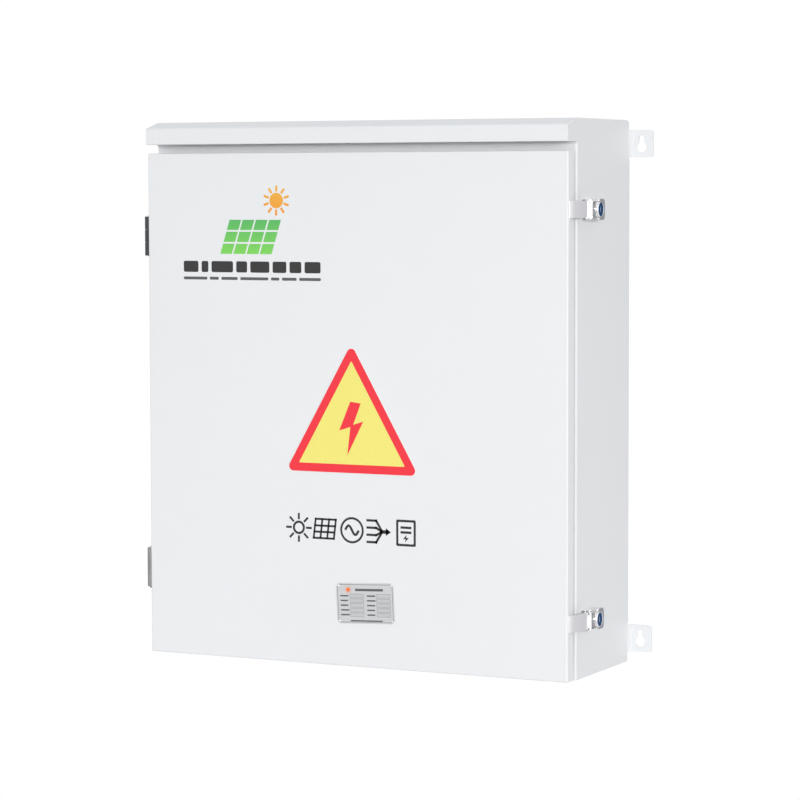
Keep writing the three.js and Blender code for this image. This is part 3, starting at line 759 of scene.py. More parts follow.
def soften(node, material, weld, smooth):
    """Weld, join flat faces, bevel and shade one CAD piece, and give it its material."""
    piece = NODES[node]
    width = bevel_width(node)
    piece.modifiers.new("weld", "NODES").node_group = weld
    if not node.startswith(KEEP_FACES):
        planes = piece.modifiers.new("planes", "DECIMATE")
        planes.decimate_type = "DISSOLVE"
        planes.angle_limit = math.radians(0.5)
    if width > 0:
        bevel = piece.modifiers.new("edges", "BEVEL")
        bevel.width = width * MM
        bevel.segments = 3 if width > 0.9 else 2
        bevel.limit_method = "ANGLE"
        bevel.angle_limit = math.radians(28)
        bevel.use_clamp_overlap = True
        bevel.miter_outer = "MITER_ARC"
    piece.modifiers.new("shade", "NODES").node_group = smooth
    normals = piece.modifiers.new("normals", "WEIGHTED_NORMAL")
    normals.mode = "FACE_AREA"
    normals.weight = 50
    normals.keep_sharp = True
    slots = piece.data.materials
    if slots:
        for i in range(len(slots)):
            slots[i] = MATERIALS[material]
    else:
        slots.append(MATERIALS[material])


def soften_cad():
    weld, smooth = weld_group(), smooth_group()
    for row in frame["record"]["subparts"]:
        node = row["node"]
        material = row["material_slot"]
        # painted light: the upper hinges keep the near-black dark_zinc as painted shade, and the
        # lower hinges get steel_zinc_mid, a lit copy of the same plating
        if node in ("hinge_body_leaf_lower", "hinge_door_leaf_lower"):
            material = "steel_zinc_mid"
        soften(node, material, weld, smooth)


REACH = 0.3     # how far round a bend line its box extends

# low corner and high corner as |x|, y, z, then the weight
SHELL_BENDS = [
    # side outlines
    ((SHELL_SIDE - REACH, -205, -351), (SHELL_SIDE + REACH, REACH, 351), 0.25),
    # front side bends
    ((SHELL_SIDE - REACH, SHELL_FRONT - REACH, SHELL_FLOOR - REACH),
     (SHELL_SIDE + REACH, SHELL_FRONT + REACH, 321), 1.0),
    # hood's lower lip
    ((-1, -204.5, HOOD_LIP - REACH), (301, -204 + REACH, HOOD_LIP + REACH), 0.4),
    # front floor bend
    ((-1, SHELL_FRONT - REACH, SHELL_FLOOR - REACH),
     (301, SHELL_FRONT + REACH, SHELL_FLOOR + REACH), 0.8),
    # raw edge of the door rim, under the gasket
    ((-1, -188.5 - REACH, -349), (299, -188.5 + REACH, 349), 0),
]
DOOR_BENDS = [
    # front perimeter
    ((-1, DOOR_FACE - REACH, DOOR_BOTTOM - REACH),
     (300, DOOR_FACE + REACH, DOOR_TOP + REACH), 1.0),
    # corners of the return
    ((DOOR_SIDE - REACH, -200.5, -349.5), (DOOR_SIDE + REACH, -180, 310), 0.6),
    # rear hem
    ((-1, DOOR_HEM - REACH, DOOR_BOTTOM - REACH),
     (300, DOOR_HEM + REACH, DOOR_TOP + REACH), 0.6),
]


# ------------------------------------------------------------------ door graphics
def door_print(name, material, outlines, front, back=0.0):
    """Thin solids between two heights above the door's face; an (outline, hole) pair is a ring."""
    layer = Solid()
    for item in outlines:
        outline, hole = item if isinstance(item, tuple) else (item, None)
        layer.prism("y", outline, DOOR_FACE - front, DOOR_FACE - back, hole=hole)
    layer.make(name, material, "door")


SIGN_HALF, SIGN_BOTTOM, SIGN_TOP = 95.75, -100.0, 67.0
SIGN_BOLT = [(-1.5, -8.0), (-17.5, -45.5), (-1.5, -40.5), (-6.0, -77.0), (17.0, -33.0),
             (2.5, -37.5), (13.5, -10.0)]      # x, z


def sign_triangle(inset, radius):
    """The warning sign's outline moved in by `inset`."""
    half_angle = math.atan2(SIGN_HALF, SIGN_TOP - SIGN_BOTTOM)
    bottom = SIGN_BOTTOM + inset
    top = SIGN_TOP - inset / math.sin(half_angle)
    half = (top - bottom) * math.tan(half_angle)
    return rounded_polygon([(-half, bottom, radius), (half, bottom, radius), (0, top, radius)], 8)


def warning_sign():
    border = (sign_triangle(inset=0.5, radius=6.2), sign_triangle(inset=11.4, radius=1.0))
    door_print("sign_border", "print_red", [border], front=0.72, back=0.5)
    door_print("sign_field", "print_yellow", [sign_triangle(inset=11.0, radius=1.2)],
               front=0.66, back=0.5)
    door_print("sign_bolt", "print_red", [SIGN_BOLT], front=0.76, back=0.62)


# pictograms, each drawn in a unit square about the origin
def sun_pictogram():
    return [(circle(0, 0, 0.23, 32), circle(0, 0, 0.15, 32))] + rays(8, 0.31, 0.45, 0.075)


def panel_pictogram():
    """A leaning grid of four lines each way."""
    def lean(u, v):
        return (u + v * 0.12, v)
    rows = [stroke(lean(-0.40, v), lean(0.36, v), 0.07) for v in (-0.32, -0.11, 0.10, 0.32)]
    columns = [stroke(lean(u, -0.32), lean(u, 0.32), 0.07) for u in (-0.40, -0.147, 0.107, 0.36)]
    return rows + columns


def wave_pictogram():
    """One sine wave in a ring."""
    count = 18
    points = [Vector((-0.25 + 0.5 * i / count, 0.15 * math.sin(2 * math.pi * i / count)))
              for i in range(count + 1)]
    upper, lower = [], []
    for point, along in zip(points, tangents(points)):
        offset = Vector((-along.y, along.x)) * (0.085 / 2)
        upper.append(tuple(point + offset))
        lower.append(tuple(point - offset))
    return [(circle(0, 0, 0.44, 40), circle(0, 0, 0.365, 40)), lower + upper[::-1]]


def joining_pictogram():
    """Four lines running together into one arrow."""
    width = 0.08
    outlines = []
    for v in (0.36, 0.12, -0.12, -0.36):
        outlines.append(stroke((-0.42, v), (-0.10, v), width))
        outlines.append(stroke((-0.10, v), (0.10, v * 0.12), width))
    outlines.append(stroke((0.10, 0), (0.30, 0), width * 1.5))
    outlines.append([(0.26, -0.13), (0.45, 0), (0.26, 0.13)])
    return outlines


def box_pictogram():
    """A cabinet with two lines and a bolt."""
    return [
        (rounded_rect(-0.36, 0.36, -0.44, 0.44, 0.05),
         rounded_rect(-0.28, 0.28, -0.36, 0.36, 0.03)),
        stroke((-0.16, 0.18), (0.16, 0.18), 0.08),
        stroke((-0.16, 0.02), (0.16, 0.02), 0.08),
        [(0.02, -0.06), (-0.11, -0.21), (-0.01, -0.20), (-0.04, -0.31), (0.11, -0.15),
         (0.01, -0.16)],
    ]


def title_row():
    size, z = 38.5, -173.0
    outlines = []
    for k, pictogram in enumerate((sun_pictogram, panel_pictogram, wave_pictogram,
                                   joining_pictogram, box_pictogram)):
        outlines += place(pictogram(), (k - 2) * size, z, size)
    door_print("title_pictograms", "print_black", outlines, front=0.06)


EMBLEM_X, EMBLEM_Z = -141.0, 217.0
BAR_ROWS_LEFT = -246.0


def bar_row(name, material, widths, trim, gap, bottom, top, radius):
    """Rounded bars in a row; each is its width less the trim, and steps on by width and gap."""
    bars, x = [], BAR_ROWS_LEFT
    for width in widths:
        bars.append(rounded_rect(x, x + width - trim, bottom, top, radius, 3))
        x += width + gap
    door_print(name, material, bars, front=0.05)


def emblem():
    """A leaning panel of 4 x 3 cells with a sun over it, and two rows of bars below."""
    cells = []
    for i in range(4):
        for j in range(3):
            left, bottom = i * 19.5, j * 15.5
            right, top = left + 17.2, bottom + 13.2
            corners = [(left, bottom), (right, bottom), (right, top), (left, top)]
            cells.append([(u + v * 0.32, v) for u, v in corners])
    door_print("emblem_panel", "print_green", place(cells, EMBLEM_X - 50, EMBLEM_Z - 38),
               front=0.06)
    sun = [circle(0, 0, 10.0, 40)] + rays(10, inner=13.2, outer=17.6, width=3.2, start=0.3)
    door_print("emblem_sun", "print_orange", place(sun, EMBLEM_X + 33, EMBLEM_Z + 31), front=0.06)
    bar_row("emblem_bars", "print_black", (26, 14, 36, 20, 32, 24, 21, 27),
            trim=3.9, gap=0.85, bottom=155.0, top=169.5, radius=2.2)
    bar_row("emblem_rule", "print_grey", (38, 16, 27, 44, 15, 24, 34),
            trim=2.8, gap=1.2, bottom=145.2, top=149.0, radius=1.2)


PLATE_TILT = math.radians(2.5)
PLATE_X, PLATE_Z = 19.25, -266.25


def on_plate(u, v):
    """A point on the slightly tilted rating plate, in door coordinates."""
    cos, sin = math.cos(PLATE_TILT), math.sin(PLATE_TILT)
    return (PLATE_X + u * cos - v * sin, PLATE_Z + u * sin + v * cos)


def plate_rect(u0, u1, v0, v1):
    return [on_plate(u0, v0), on_plate(u1, v0), on_plate(u1, v1), on_plate(u0, v1)]


def plate_octagon(inset):
    side, end = 41 - inset, 26 - inset
    corners = [(-side, -22), (-37, -end), (37, -end), (side, -22),
               (side, 22), (37, end), (-37, end), (-side, 22)]
    return [on_plate(u, v) for u, v in corners]


def rating_plate():
    """Frame line, two columns of lines and blank fields, a sun mark and four rivets."""
    dark, light = [(plate_octagon(1.6), plate_octagon(2.1))], []
    lengths = random.Random(7)
    for row in range(5):
        v = 9.6 - row * 6.1
        for u in (-36, 2):
            length = 13 - lengths.uniform(0, 3)
            field = plate_rect(u + 14.5, u + 33.5, v - 2.2, v + 2.2)
            dark.append(plate_rect(u + 0.5, u + length, v - 0.9, v + 0.9))
            light.append(field)
            dark.append((plate_rect(u + 14.2, u + 33.8, v - 2.5, v + 2.5), field))
    dark.append(plate_rect(-14, 26, 15.8, 18.8))
    dark.append(plate_rect(-22, 24, -23.3, -21.6))
    door_print("rating_plate_print", "print_grey", dark, front=0.80, back=0.74)
    door_print("rating_plate_fields", "label_grey", light, front=0.79, back=0.74)
    mark = [circle(0, 0, 2.6, 20)] + rays(8, inner=3.4, outer=4.8, width=0.8)
    door_print("rating_plate_mark", "print_orange", place(mark, *on_plate(-24, 17.5)),
               front=0.80, back=0.74)
    # radius, height above the door's face
    profile = [(0, 1.25), (0.8, 1.2), (1.25, 0.95), (1.35, 0.7), (0, 0.7)]
    rivets = Solid()
    for u, v in ((-1, -1), (1, -1), (1, 1), (-1, 1)):
        x, z = on_plate(u * 38.4 * 0.985, v * 23.2 * 0.985)
        rivets.lathe("y", x, z, [(radius, DOOR_FACE - up) for radius, up in profile], 16)
    rivets.make("rating_plate_rivets", "zinc_plate", "door")


# ------------------------------------------------------------------ fasteners
def plate_nuts():
    nuts = Solid()
    for x in (-250, 250):
        for z in (-285, 285):
            nuts.nut("y", x, z, PLATE_FACE, -1)
    for x in (-286.5, 286.5):
        for z in (327.3, -312.7):
            nuts.nut("y", x, z, -3.5, -1, thickness=4, washer=8)
    nuts.make("plate_nuts", "zinc_plate", "enclosure")


def gland_plate_screws():
    screws = Solid()
    for x in (-192, -96, 0, 96, 192):
        for y in (-137, -33):
            screws.pan_screw("z", x, y, -346.5, 1)
    screws.make("gland_plate_screws", "zinc_plate", "enclosure")


def hinge_screws(name, body, y, spread, face, radius, height):
    screws = Solid()
    for hinge_z in HINGES_Z:
        for offset in (-spread, spread):
            screws.pan_screw("x", y, hinge_z + offset, face, -1, radius, height)
    screws.make(name, "zinc_plate", body)


def latch_trim():
    """A collar round each key disc and a bar in its key slot."""
    y = -138
    for name, z in LATCHES_Z.items():
        collar = Solid()
        collar.prism("x", circle(y, z, 9.5, 40), 315.3, 317.6, 0.5, hole=circle(y, z, 8.45, 40))
        collar.make(f"latch_collar_{name}", "bright_chrome", f"{name}_latch_lever")
        slot = Solid()
        slot.box(314.6, 316.9, y - 0.62, y + 0.62, z - 3.3, z + 3.3, 0.15)
        slot.make(f"latch_key_slot_{name}", "bright_chrome", f"{name}_key_plug")


# ------------------------------------------------------------------ breakers
class Breaker(NamedTuple):
    width: float
    height: float
    terminal_y: float       # floor of the lower terminal pockets
    body_y: float           # front of the body
    nose_y: float           # front of the raised nose
    nose: tuple             # width and height of the nose
    window: tuple           # width and height of the lever window
    pocket: float           # length of the terminal pockets
    clamp: float            # radius of the terminal screws
    poles: tuple            # x offsets


INPUT_BREAKER = Breaker(width=78, height=132, terminal_y=-56.75, body_y=-86, nose_y=-94,
                        nose=(44, 62), window=(22, 40), pocket=20, clamp=6.2,
                        poles=INPUT_POLES)
MAIN_BREAKER = Breaker(width=107, height=165, terminal_y=-71.75, body_y=-112, nose_y=-122,
                       nose=(62, 86), window=(28, 52), pocket=26, clamp=8.5,
                       poles=MAIN_POLES)


def breaker_screws(tag, x, z, kind):
    screws = Solid()
    radius = kind.clamp
    # radius, height above the pocket's floor
    profile = [(0, 0), (radius, 0), (radius, 4.6), (radius - 0.9, 5.6), (2.6, 5.6),
               (2.3, 3.4), (0, 3.4)]
    for pole in kind.poles:
        for end in (-1, 1):
            screw_z = z + end * (kind.height / 2 - kind.pocket * 0.45)
            # the upper screws stand further forward
            y = kind.terminal_y - (3.2 if end > 0 else 0)
            screws.lathe("y", x + pole, screw_z, [(r, y - up) for r, up in profile], 26)
            screws.prism("y", circle(x + pole, screw_z, radius + 1.6, 26), y - 1.0, y, 0.25)
    for side in (-1, 1):
        for end in (-1, 1):
            screws.pan_screw("y", x + side * (kind.width / 2 - 6.5),
                             z + end * (kind.height / 2 - kind.pocket - 6.5),
                             kind.body_y, -1, radius=3.0, height=1.2)
    screws.make(f"{tag}_screws", "zinc_plate", "enclosure")


def breaker_marks(tag, x, z, kind):
    """A line above the lever window, a ring below it and three dashes at the right."""
    marks = Solid()
    front, back = kind.nose_y - 0.45, kind.nose_y - 0.3
    (nose_width, nose_height), (_, window_height) = kind.nose, kind.window
    offset = window_height / 2 + (nose_height - window_height) / 4
    above, below = z + offset, z - offset
    marks.prism("y", stroke((x - 0.01, above - 1.8), (x + 0.01, above + 1.8), 1.3), front, back)
    marks.prism("y", circle(x, below, 2.4), front, back, hole=circle(x, below, 1.4))
    left, right = x + nose_width / 2 - 9, x + nose_width / 2 - 5
    for k in range(3):
        low, high = z - 6 + 4 * k, z - 4.8 + 4 * k
        marks.prism("y", [(left, low), (right, low), (right, high), (left, high)], front, back)
    marks.make(f"{tag}_marks", "print_black", "enclosure")


def dress_breaker(tag, x, z, kind):
    breaker_screws(tag, x, z, kind)
    nose_width, nose_height = kind.nose
    window_width, window_height = kind.window

    face = Solid()
    face.prism("y", centred_rect(x, z, nose_width - 4, nose_height - 4, 2.0),
               kind.nose_y - 0.35, kind.nose_y,
               hole=centred_rect(x, z, window_width + 1.2, window_height + 1.2, 0.6))
    face.make(f"{tag}_face_label", "label_grey", "enclosure")
    breaker_marks(tag, x, z, kind)

    strip = Solid()
    strip.prism("y", rounded_rect(x - kind.width / 2 + 5, x + kind.width / 2 - 5,
                                  z - kind.height / 2 + kind.pocket + 3.5,
                                  z - nose_height / 2 - 1.5, 1.2),
                kind.body_y - 0.35, kind.body_y, 0.1)
    strip.make(f"{tag}_strip_label", "label_white", "enclosure")

    # lip on the parting line between base and cover
    seam = kind.body_y * 0.42 + PLATE_FACE * 0.58
    lip = Solid()
    lip.prism("y", centred_rect(x, z, kind.width + 0.7, kind.height + 0.7, 1.2),
              seam - 0.8, seam + 0.8, 0.3,
              hole=centred_rect(x, z, kind.width - 0.8, kind.height - 0.8, 0.6))
    lip.make(f"{tag}_parting_lip", "breaker_black", "enclosure")


# ------------------------------------------------------------------ busbars
def busbar_section(phase):
    """Front and back y, bottom and top z of a busbar; each stands forward of and above the last."""
    front, bottom = -52 - 15 * phase, -80 + 40 * phase
    return front, front + 3, bottom, bottom + 20


def busbar_sleeves(phase, colour):
    """Sleeves along a bar, clear of its joints, and on the legs to the breakers."""
    front, back, bottom, top = busbar_section(phase)
    wall, radius = 0.7, 1.3
    legs = [x + INPUT_POLES[phase] for x in INPUT_X]
    riser = MAIN_X + MAIN_POLES[phase]
    joints = sorted([(x - 11, x + 11) for x in legs] + [(riser - 13, riser + 13)])
    starts = [-184] + [end for _, end in joints]
    ends = [start for start, _ in joints] + [184]
    sleeves = Solid()
    for start, end in zip(starts, ends):
        if end - start > 9:
            sleeves.prism("x", rounded_rect(front - wall, back + wall, bottom - wall, top + wall,
                                            radius), start, end, 0.4)

    def upright(x, half, low, high):
        sleeves.prism("z", rounded_rect(x - half, x + half, front - wall, back + wall, radius),
                      low, high, 0.3)

    for x in legs:
        upright(x, 8.2, -97, bottom - 3)
    upright(riser, 10.7, top + 3, 46)
    sleeves.make(f"busbar_l{phase + 1}_sleeves", colour, "enclosure")


def busbar_bolts():
    bolts = Solid()
    for x in (-195, 195):
        for phase in range(3):
            front, _, bottom, top = busbar_section(phase)
            middle = (bottom + top) / 2
            bolts.prism("y", circle(x, middle, 5.6), front - 1.2, front, 0.2)
            bolts.prism("y", hexagon(x, middle, 8), front - 5.2, front - 1.2, 0.5)
    bolts.make("busbar_bolts", "zinc_plate", "enclosure")


def guard_knobs():
    profile = [(0, -101.5), (6.5, -101.5), (6.5, -107), (5.8, -108), (0, -108)]     # radius, y
    knobs = Solid()
    for x in (-213, 213):
        for z in (-75, 30):
            knobs.lathe("y", x, z, profile, 28)
    knobs.make("guard_knobs", "toggle_black", "enclosure")


# ------------------------------------------------------------------ rail devices and terminals
def surge_cartridges():
    cartridges, windows, labels = Solid(), Solid(), Solid()
    for x in ARRESTER_X:
        cartridges.prism("y", centred_rect(x, RAIL_Z, 16.8, 41, 1.5), -93.5, -88.1, 0.5)
        cartridges.box(x - 5.4, x + 5.4, -96.0, -93.3, RAIL_Z - 4, RAIL_Z - 1, 0.6)
        windows.box(x - 3, x + 3, -94.0, -93.4, RAIL_Z + 10, RAIL_Z + 15, 0.2)
        labels.prism("y", rounded_rect(x - 5.9, x + 5.9, RAIL_Z - 17, RAIL_Z - 8, 0.8),
                     -93.85, -93.45, 0.1)
    cartridges.make("surge_cartridges", "arrester_grey", "enclosure")
    windows.make("surge_windows", "window_green", "enclosure")
    labels.make("surge_labels", "label_white", "enclosure")


def rail_stops():
    outline = rounded_polygon([(-24.2, RAIL_Z - 20, 0), (-38, RAIL_Z - 19, 2),
                               (-38, RAIL_Z + 19, 2), (-24.2, RAIL_Z + 20, 0)])     # y, z, radius
    stops = Solid()
    for x in (101, 196):
        stops.prism("x", outline, x - 4.5, x + 4.5, 0.6)
    stops.make("rail_stops", "arrester_grey", "enclosure")


def rail_device_screws():
    profile = [(0, -72.0), (3.6, -72.0), (3.6, -72.7), (1.0, -72.7), (0, -72.3)]    # radius, y
    screws = Solid()
    for x in (20, 235):
        screws.pan_screw("y", x, RAIL_Z, -23, -1, radius=4.0, height=2.2)
    for x in SURGE_BREAKER_X + ARRESTER_X:
        for z in (RAIL_Z - 33, RAIL_Z + 33):
            screws.lathe("y", x, z, profile, 18)
    screws.make("rail_device_screws", "zinc_plate", "enclosure")


def terminal_screws():
    profile = [(0, -46), (4.2, -46), (4.2, -48.6), (3.6, -49.2), (1.0, -49.2),
               (0, -47.6)]      # radius, y
    screws = Solid()
    for bar_x in (EARTH_BAR_X, NEUTRAL_BAR_X):
        for k in range(9):
            screws.lathe("y", bar_x + FIRST_TERMINAL + 18 * k, TERMINAL_Z, profile, 20)
    screws.make("terminal_screws", "zinc_plate", "enclosure")


# ------------------------------------------------------------------ wiring
ENTRY_X = (-135, -55, 55, 135)      # where each input breaker's wires come in
ENTRY_Z = -343.2
WIRE_END_Z = -288                   # lower end of the wires at the terminal bars


def wires(name, material, runs, radius, count=10):
    """Cables along the runs, each a list of x, y, z points."""
    cables = Solid()
    for path in runs:
        cables.tube(path, radius, count)
    cables.make(name, material, "enclosure")


def field_wires():
    """From the floor entries to the input breakers and the terminal bars."""
    for phase, colour in enumerate(PHASE_COLOURS):
        runs = []
        for breaker_x, entry in zip(INPUT_X, ENTRY_X):
            x = breaker_x + INPUT_POLES[phase]
            side = phase - 1
            runs.append([(entry + side * 7, -85 + side * 2, ENTRY_Z),
                         (entry + side * 7.5, -84, -325), (entry * 0.5 + x * 0.5, -78, -290),
                         (x, -68, -262), (x, -64, -246), (x, -62, -238)])
        wires(f"field_wires_l{phase + 1}", colour, runs, 3.1)

    neutral, earth = [], []
    for x, entry in zip(INPUT_X, ENTRY_X):
        along = FIRST_TERMINAL + (x - INPUT_X[0]) * 0.48
        earth_x, neutral_x = EARTH_BAR_X + along, NEUTRAL_BAR_X + along
        earth.append([(entry + 4, -79, ENTRY_Z), (entry * 0.6 + x * 0.35 - 40, -70, -318),
                      (earth_x, -60, -303), (earth_x, -50, WIRE_END_Z)])
        neutral.append([(entry - 4, -79, ENTRY_Z), (entry * 0.6 + x * 0.35 + 40, -72, -322),
                        (neutral_x, -62, -304), (neutral_x, -50, WIRE_END_Z)])
    wires("field_wires_n", "pvc_blue", neutral, 2.6)
    wires("field_wires_pe", "pvc_earth", earth, 2.6)


def output_cables():
    """From the top of the main breaker, down the left side and out through the floor."""
    runs = []
    lugs = Solid()
    for i, pole in enumerate(MAIN_POLES):
        x = MAIN_X + pole
        side_x = -238 + i * 14.5
        runs.append([(x, -80, 222), (x, -82, 236), (x * 0.6 + side_x * 0.4, -86, 262 - i * 5),
                     (side_x + 18, -84, 268 - i * 9), (side_x, -74, 238 - i * 10),
                     (side_x, -62, 180), (side_x, -56, 60), (side_x, -56, -120),
                     (side_x, -58, -262), (side_x * 0.75, -72, -305),
                     (-13 + i * 13, -84, -322), (-12 + i * 12, -85, ENTRY_Z)])
        lugs.prism("y", rounded_rect(x - 9, x + 9, 208, 226, 4), -77, -72.2, 0.5)
        lugs.lathe("z", x, -80.5, [(0, 222), (6.3, 222), (6.6, 224), (6.6, 236), (6.1, 238),
                                   (0, 238)], 20)
    wires("output_cables", "pvc_black", runs, 5.6, 14)
    lugs.make("output_lugs", "zinc_plate", "enclosure")


def cable_ties():
    left, right, thickness = -245.5, -201.5, 1.2
    ties = Solid()
    # z, front y, back y
    for z, front, back in ((150, -68.5, -52), (40, -64.5, -50), (-60, -64.5, -50),
                           (-160, -64.5, -50), (-240, -64.5, -50)):
        ties.prism("z", rounded_rect(left, right, front, back, 5), z - 2, z + 2, 0.4,
                   hole=rounded_rect(left + thickness, right - thickness,
                                     front + thickness, back - thickness, 4.2))
    ties.make("cable_ties", "toggle_black", "enclosure")


SURGE_EARTH_RUN = [
    (173, -58, 110), (173, -60, 96), (200, -50, 80), (234, -40, 40), (238, -36, -120),
    (236, -36, -240), (225, -40, -270), (120, -44, -312), (0, -44, -314), (-30, -46, -300),
    (-33, -48, WIRE_END_Z),
]


def surge_wires():
    """From each busbar to its surge breaker, and over the top to the arrester."""
    for i, colour in enumerate(PHASE_COLOURS):
        x, arrester, bar_x = SURGE_BREAKER_X[i], ARRESTER_X[i], 182 - i * 14
        front, _, bottom, top = busbar_section(i)
        middle = (bottom + top) / 2
        supply = [(bar_x, front - 2, middle), (bar_x, front - 12, middle + 14),
                  (bar_x - 20, -76, 70), (x + 14, -66, 88), (x, -60, 98), (x, -58, 110)]
        link = [(x, -58, 190), (x, -60, 203), (x * 0.5 + arrester * 0.5, -62, 213 + 4 * i),
                (arrester, -60, 203), (arrester, -58, 190)]
        wires(f"surge_wires_l{i + 1}", colour, [supply, link], 2.4)
    wires("surge_wire_pe", "pvc_earth", [SURGE_EARTH_RUN], 2.6)


# ------------------------------------------------------------------ earth strap and papers
STRAP_PATH = [(-296.2, -96), (-290, -112), (-276, -131), (-262, -146), (-254, -158),
              (-250, -168), (-247.5, -182), (-246, -195.6)]     # x, y


def earth_strap():
    """Flat braid from the enclosure's side to the door, in place of the CAD strap."""
    half_thickness, half_width = 1.25, 8.5
    points = smooth_path([(x, y, 0) for x, y in STRAP_PATH], steps=5)
    rings = []
    for point, along in zip(points, tangents(points)):
        across = Vector((-along.y, along.x, 0))
        ring = []
        for cos, sin in circle(0, 0, 1, 14):
            # the power squares off the ellipse
            rise = half_width * math.copysign(abs(cos) ** 0.6, cos)
            ring.append(point + across * (half_thickness * sin) + Vector((0, 0, STRAP_Z + rise)))
        rings.append(ring)
    braid = Solid()
    braid.loft(rings)
    strap = braid.make("earth_strap_braid", "copper_braid")
    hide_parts("earth_strap")
    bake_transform(strap)


def earth_stud(name, axis, across, face, body):
    stud = Solid()
    stud.nut(axis, across, STRAP_Z, face, 1, across_flats=8, thickness=4, washer=7.5)
    stud.make(name, "zinc_plate", body)


def pocket_papers():
    papers = Solid()
    papers.box(-108, 108, -193.5, -190.5, -231, -52, 0.3)
    papers.box(-104, 100, -190.2, -188.6, -231, -58, 0.3)
    papers.make("pocket_papers", "paper", "door")


# ------------------------------------------------------------------ stage, light and camera
AMBIENT = 0.42          # strength of the room on rough surfaces
REFLECTED = 1.28        # strength of the room in polished surfaces
BACKDROP = 1.02         # strength of the white the camera sees

# position from straight down (0) to straight up (1), colour
ROOM_BY_HEIGHT = [(0.0, (0.55, 0.56, 0.57)), (0.45, (0.72, 0.73, 0.75)),
                  (0.62, (0.99, 1.01, 1.04)), (1.0, (1.96, 2.00, 2.05))]
REFLECTED_BY_HEIGHT = [(0.0, (0.8, 0.8, 0.8)), (0.30, (0.25, 0.25, 0.25)),
                       (0.62, (0.0, 0.0, 0.0)), (0.78, (1.0, 1.0, 1.0)), (1.0, (1.0, 1.0, 1.0))]
# position from the front (0) to the back (1), colour
REFLECTED_BY_DEPTH = [(0.0, (1.0, 1.0, 1.0)), (0.30, (0.90, 0.90, 0.91)),
                      (0.60, (0.74, 0.74, 0.75)), (0.82, (0.56, 0.56, 0.575)),
                      (0.93, (0.27, 0.275, 0.285)), (1.0, (0.24, 0.245, 0.25))]


def studio_world():
    """White to the camera, an even room to rough surfaces, and to polished ones a room
    that is dark behind the box and bright in front of it and overhead."""
    world = bpy.data.worlds.new("studio")
    bpy.context.scene.world = world
    world.use_nodes = True
    tree = world.node_tree
    tree.nodes.clear()
    output = add_node(tree, "ShaderNodeOutputWorld")
    rays_ = add_node(tree, "ShaderNodeLightPath").outputs
    coords = add_node(tree, "ShaderNodeTexCoord").outputs["Generated"]
    _, depth, height = add_node(tree, "ShaderNodeSeparateXYZ", {0: coords}).outputs

    def gradient(direction, stops):
        return colour_ramp(tree, map_range(tree, direction, from_low=-1, from_high=1), stops)

    def background(colour, strength):
        return add_node(tree, "ShaderNodeBackground", {0: colour, 1: strength}).outputs[0]

    room = background(gradient(height, ROOM_BY_HEIGHT), AMBIENT)
    reflected = mix_colour(tree, 1.0, gradient(depth, REFLECTED_BY_DEPTH),
                           gradient(height, REFLECTED_BY_HEIGHT), blend="LIGHTEN")
    lit = mix_shader(tree, rays_["Is Glossy Ray"], room, background(reflected, REFLECTED))
    seen = mix_shader(tree, rays_["Is Camera Ray"], lit, background((1, 1, 1), BACKDROP))
    feed(tree, output.inputs[0], seen)


def area_light(name, location, target, size, power, colour=(1, 1, 1)):
    """Rectangular light turned towards the target; places and sizes in metres, power in watts."""
    data = bpy.data.lights.new(name, "AREA")
    data.shape = "RECTANGLE"
    data.size, data.size_y = size
    data.energy = power
    data.color = colour
    light = bpy.data.objects.new(name, data)
    bpy.context.scene.collection.objects.link(light)
    light.location = location
    light.rotation_mode = "QUATERNION"
    light.rotation_quaternion = (Vector(target) - Vector(location)).to_track_quat("-Z", "Y")


def studio_lights():
    area_light("key", location=(6.70, -6.75, 1.20), target=(0.0, -0.1, 0), size=(5.1, 2.2),
               power=560, colour=(1.0, 0.988, 0.972))
    area_light("fill", location=(-0.35, -5.2, 0.60), target=(0, -0.1, 0.1), size=(1.8, 1.0),
               power=24, colour=(1.0, 0.992, 0.984))
    area_light("left", location=(-2.3, -1.7, 1.0), target=(-0.2, -0.1, 0), size=(1.2, 1.2),
               power=5)


def studio_floor():
    slab = Solid()
    slab.prism("z", rounded_rect(-2300, 2300, -2300, 2300, 50), -1010, -1000)
    slab.make("studio_floor", "floor_pale")


CAMERA_PLACE = (1.74349, -3.59262, 0.26557)     # metres
CAMERA_PITCH = 0.07109      # downwards, radians
CAMERA_YAW = 0.4585         # from +y towards -x
CAMERA_ROLL = -0.00211


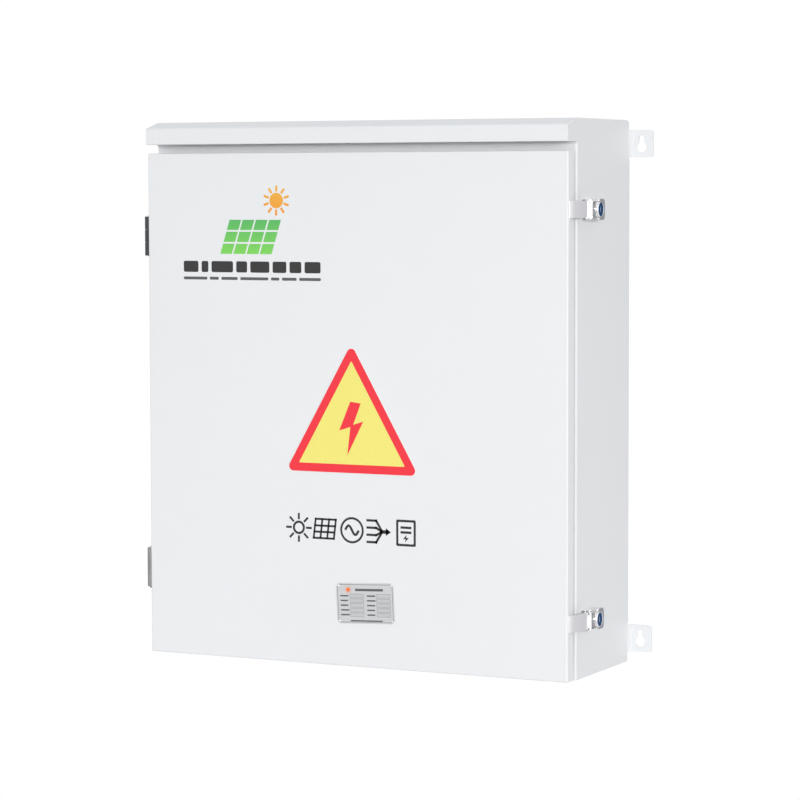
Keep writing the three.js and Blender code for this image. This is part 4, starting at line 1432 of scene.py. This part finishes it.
def studio_camera():
    data = bpy.data.cameras.new("camera")
    camera = bpy.data.objects.new("camera", data)
    bpy.context.scene.collection.objects.link(camera)
    data.sensor_fit = "HORIZONTAL"
    data.sensor_width = 36.0
    data.lens = 134.8515
    data.clip_start, data.clip_end = 0.05, 60.0
    cos_yaw, sin_yaw = math.cos(CAMERA_YAW), math.sin(CAMERA_YAW)
    cos_pitch, sin_pitch = math.cos(CAMERA_PITCH), math.sin(CAMERA_PITCH)
    level = Vector((cos_yaw, sin_yaw, 0))
    forward = Vector((-sin_yaw * cos_pitch, cos_yaw * cos_pitch, -sin_pitch))
    upright = level.cross(forward)
    right = level * math.cos(CAMERA_ROLL) + upright * math.sin(CAMERA_ROLL)
    up = upright * math.cos(CAMERA_ROLL) - level * math.sin(CAMERA_ROLL)
    rows = zip(right, up, -forward, CAMERA_PLACE)
    camera.matrix_world = Matrix((*rows, (0, 0, 0, 1)))
    bpy.context.scene.camera = camera


def plain_view():
    view = bpy.context.scene.view_settings
    view.view_transform = "Standard"
    view.look = "None"
    view.exposure = 0.0
    view.gamma = 1.0


# ------------------------------------------------------------------ build
make_materials()
soften_cad()
round_bends("enclosure_shell", SHELL_BENDS, width=3.0, fine=0.4)
round_bends("door_panel", DOOR_BENDS, width=1.9, fine=0.35)

warning_sign()
title_row()
emblem()
rating_plate()

plate_nuts()
gland_plate_screws()
hinge_screws("hinge_body_screws", "enclosure", y=-155, spread=15, face=-303.5,
             radius=3.6, height=2.0)
hinge_screws("hinge_door_screws", "door", y=-191.5, spread=16, face=-303.0,
             radius=3.2, height=1.6)
latch_trim()

for number, breaker_x in enumerate(INPUT_X, 1):
    dress_breaker(f"input_breaker_{number}", breaker_x, INPUT_Z, INPUT_BREAKER)
dress_breaker("main_breaker", MAIN_X, MAIN_Z, MAIN_BREAKER)

for phase_index, phase_colour in enumerate(PHASE_COLOURS):
    busbar_sleeves(phase_index, phase_colour)
busbar_bolts()
guard_knobs()
surge_cartridges()
rail_stops()
rail_device_screws()
terminal_screws()

field_wires()
output_cables()
cable_ties()
surge_wires()
earth_strap()
earth_stud("earth_stud_body", "x", -97, -298.5, "enclosure")
earth_stud("earth_stud_door", "y", -246, -198.5, "door")
pocket_papers()

studio_world()
studio_lights()
studio_floor()
studio_camera()
plain_view()
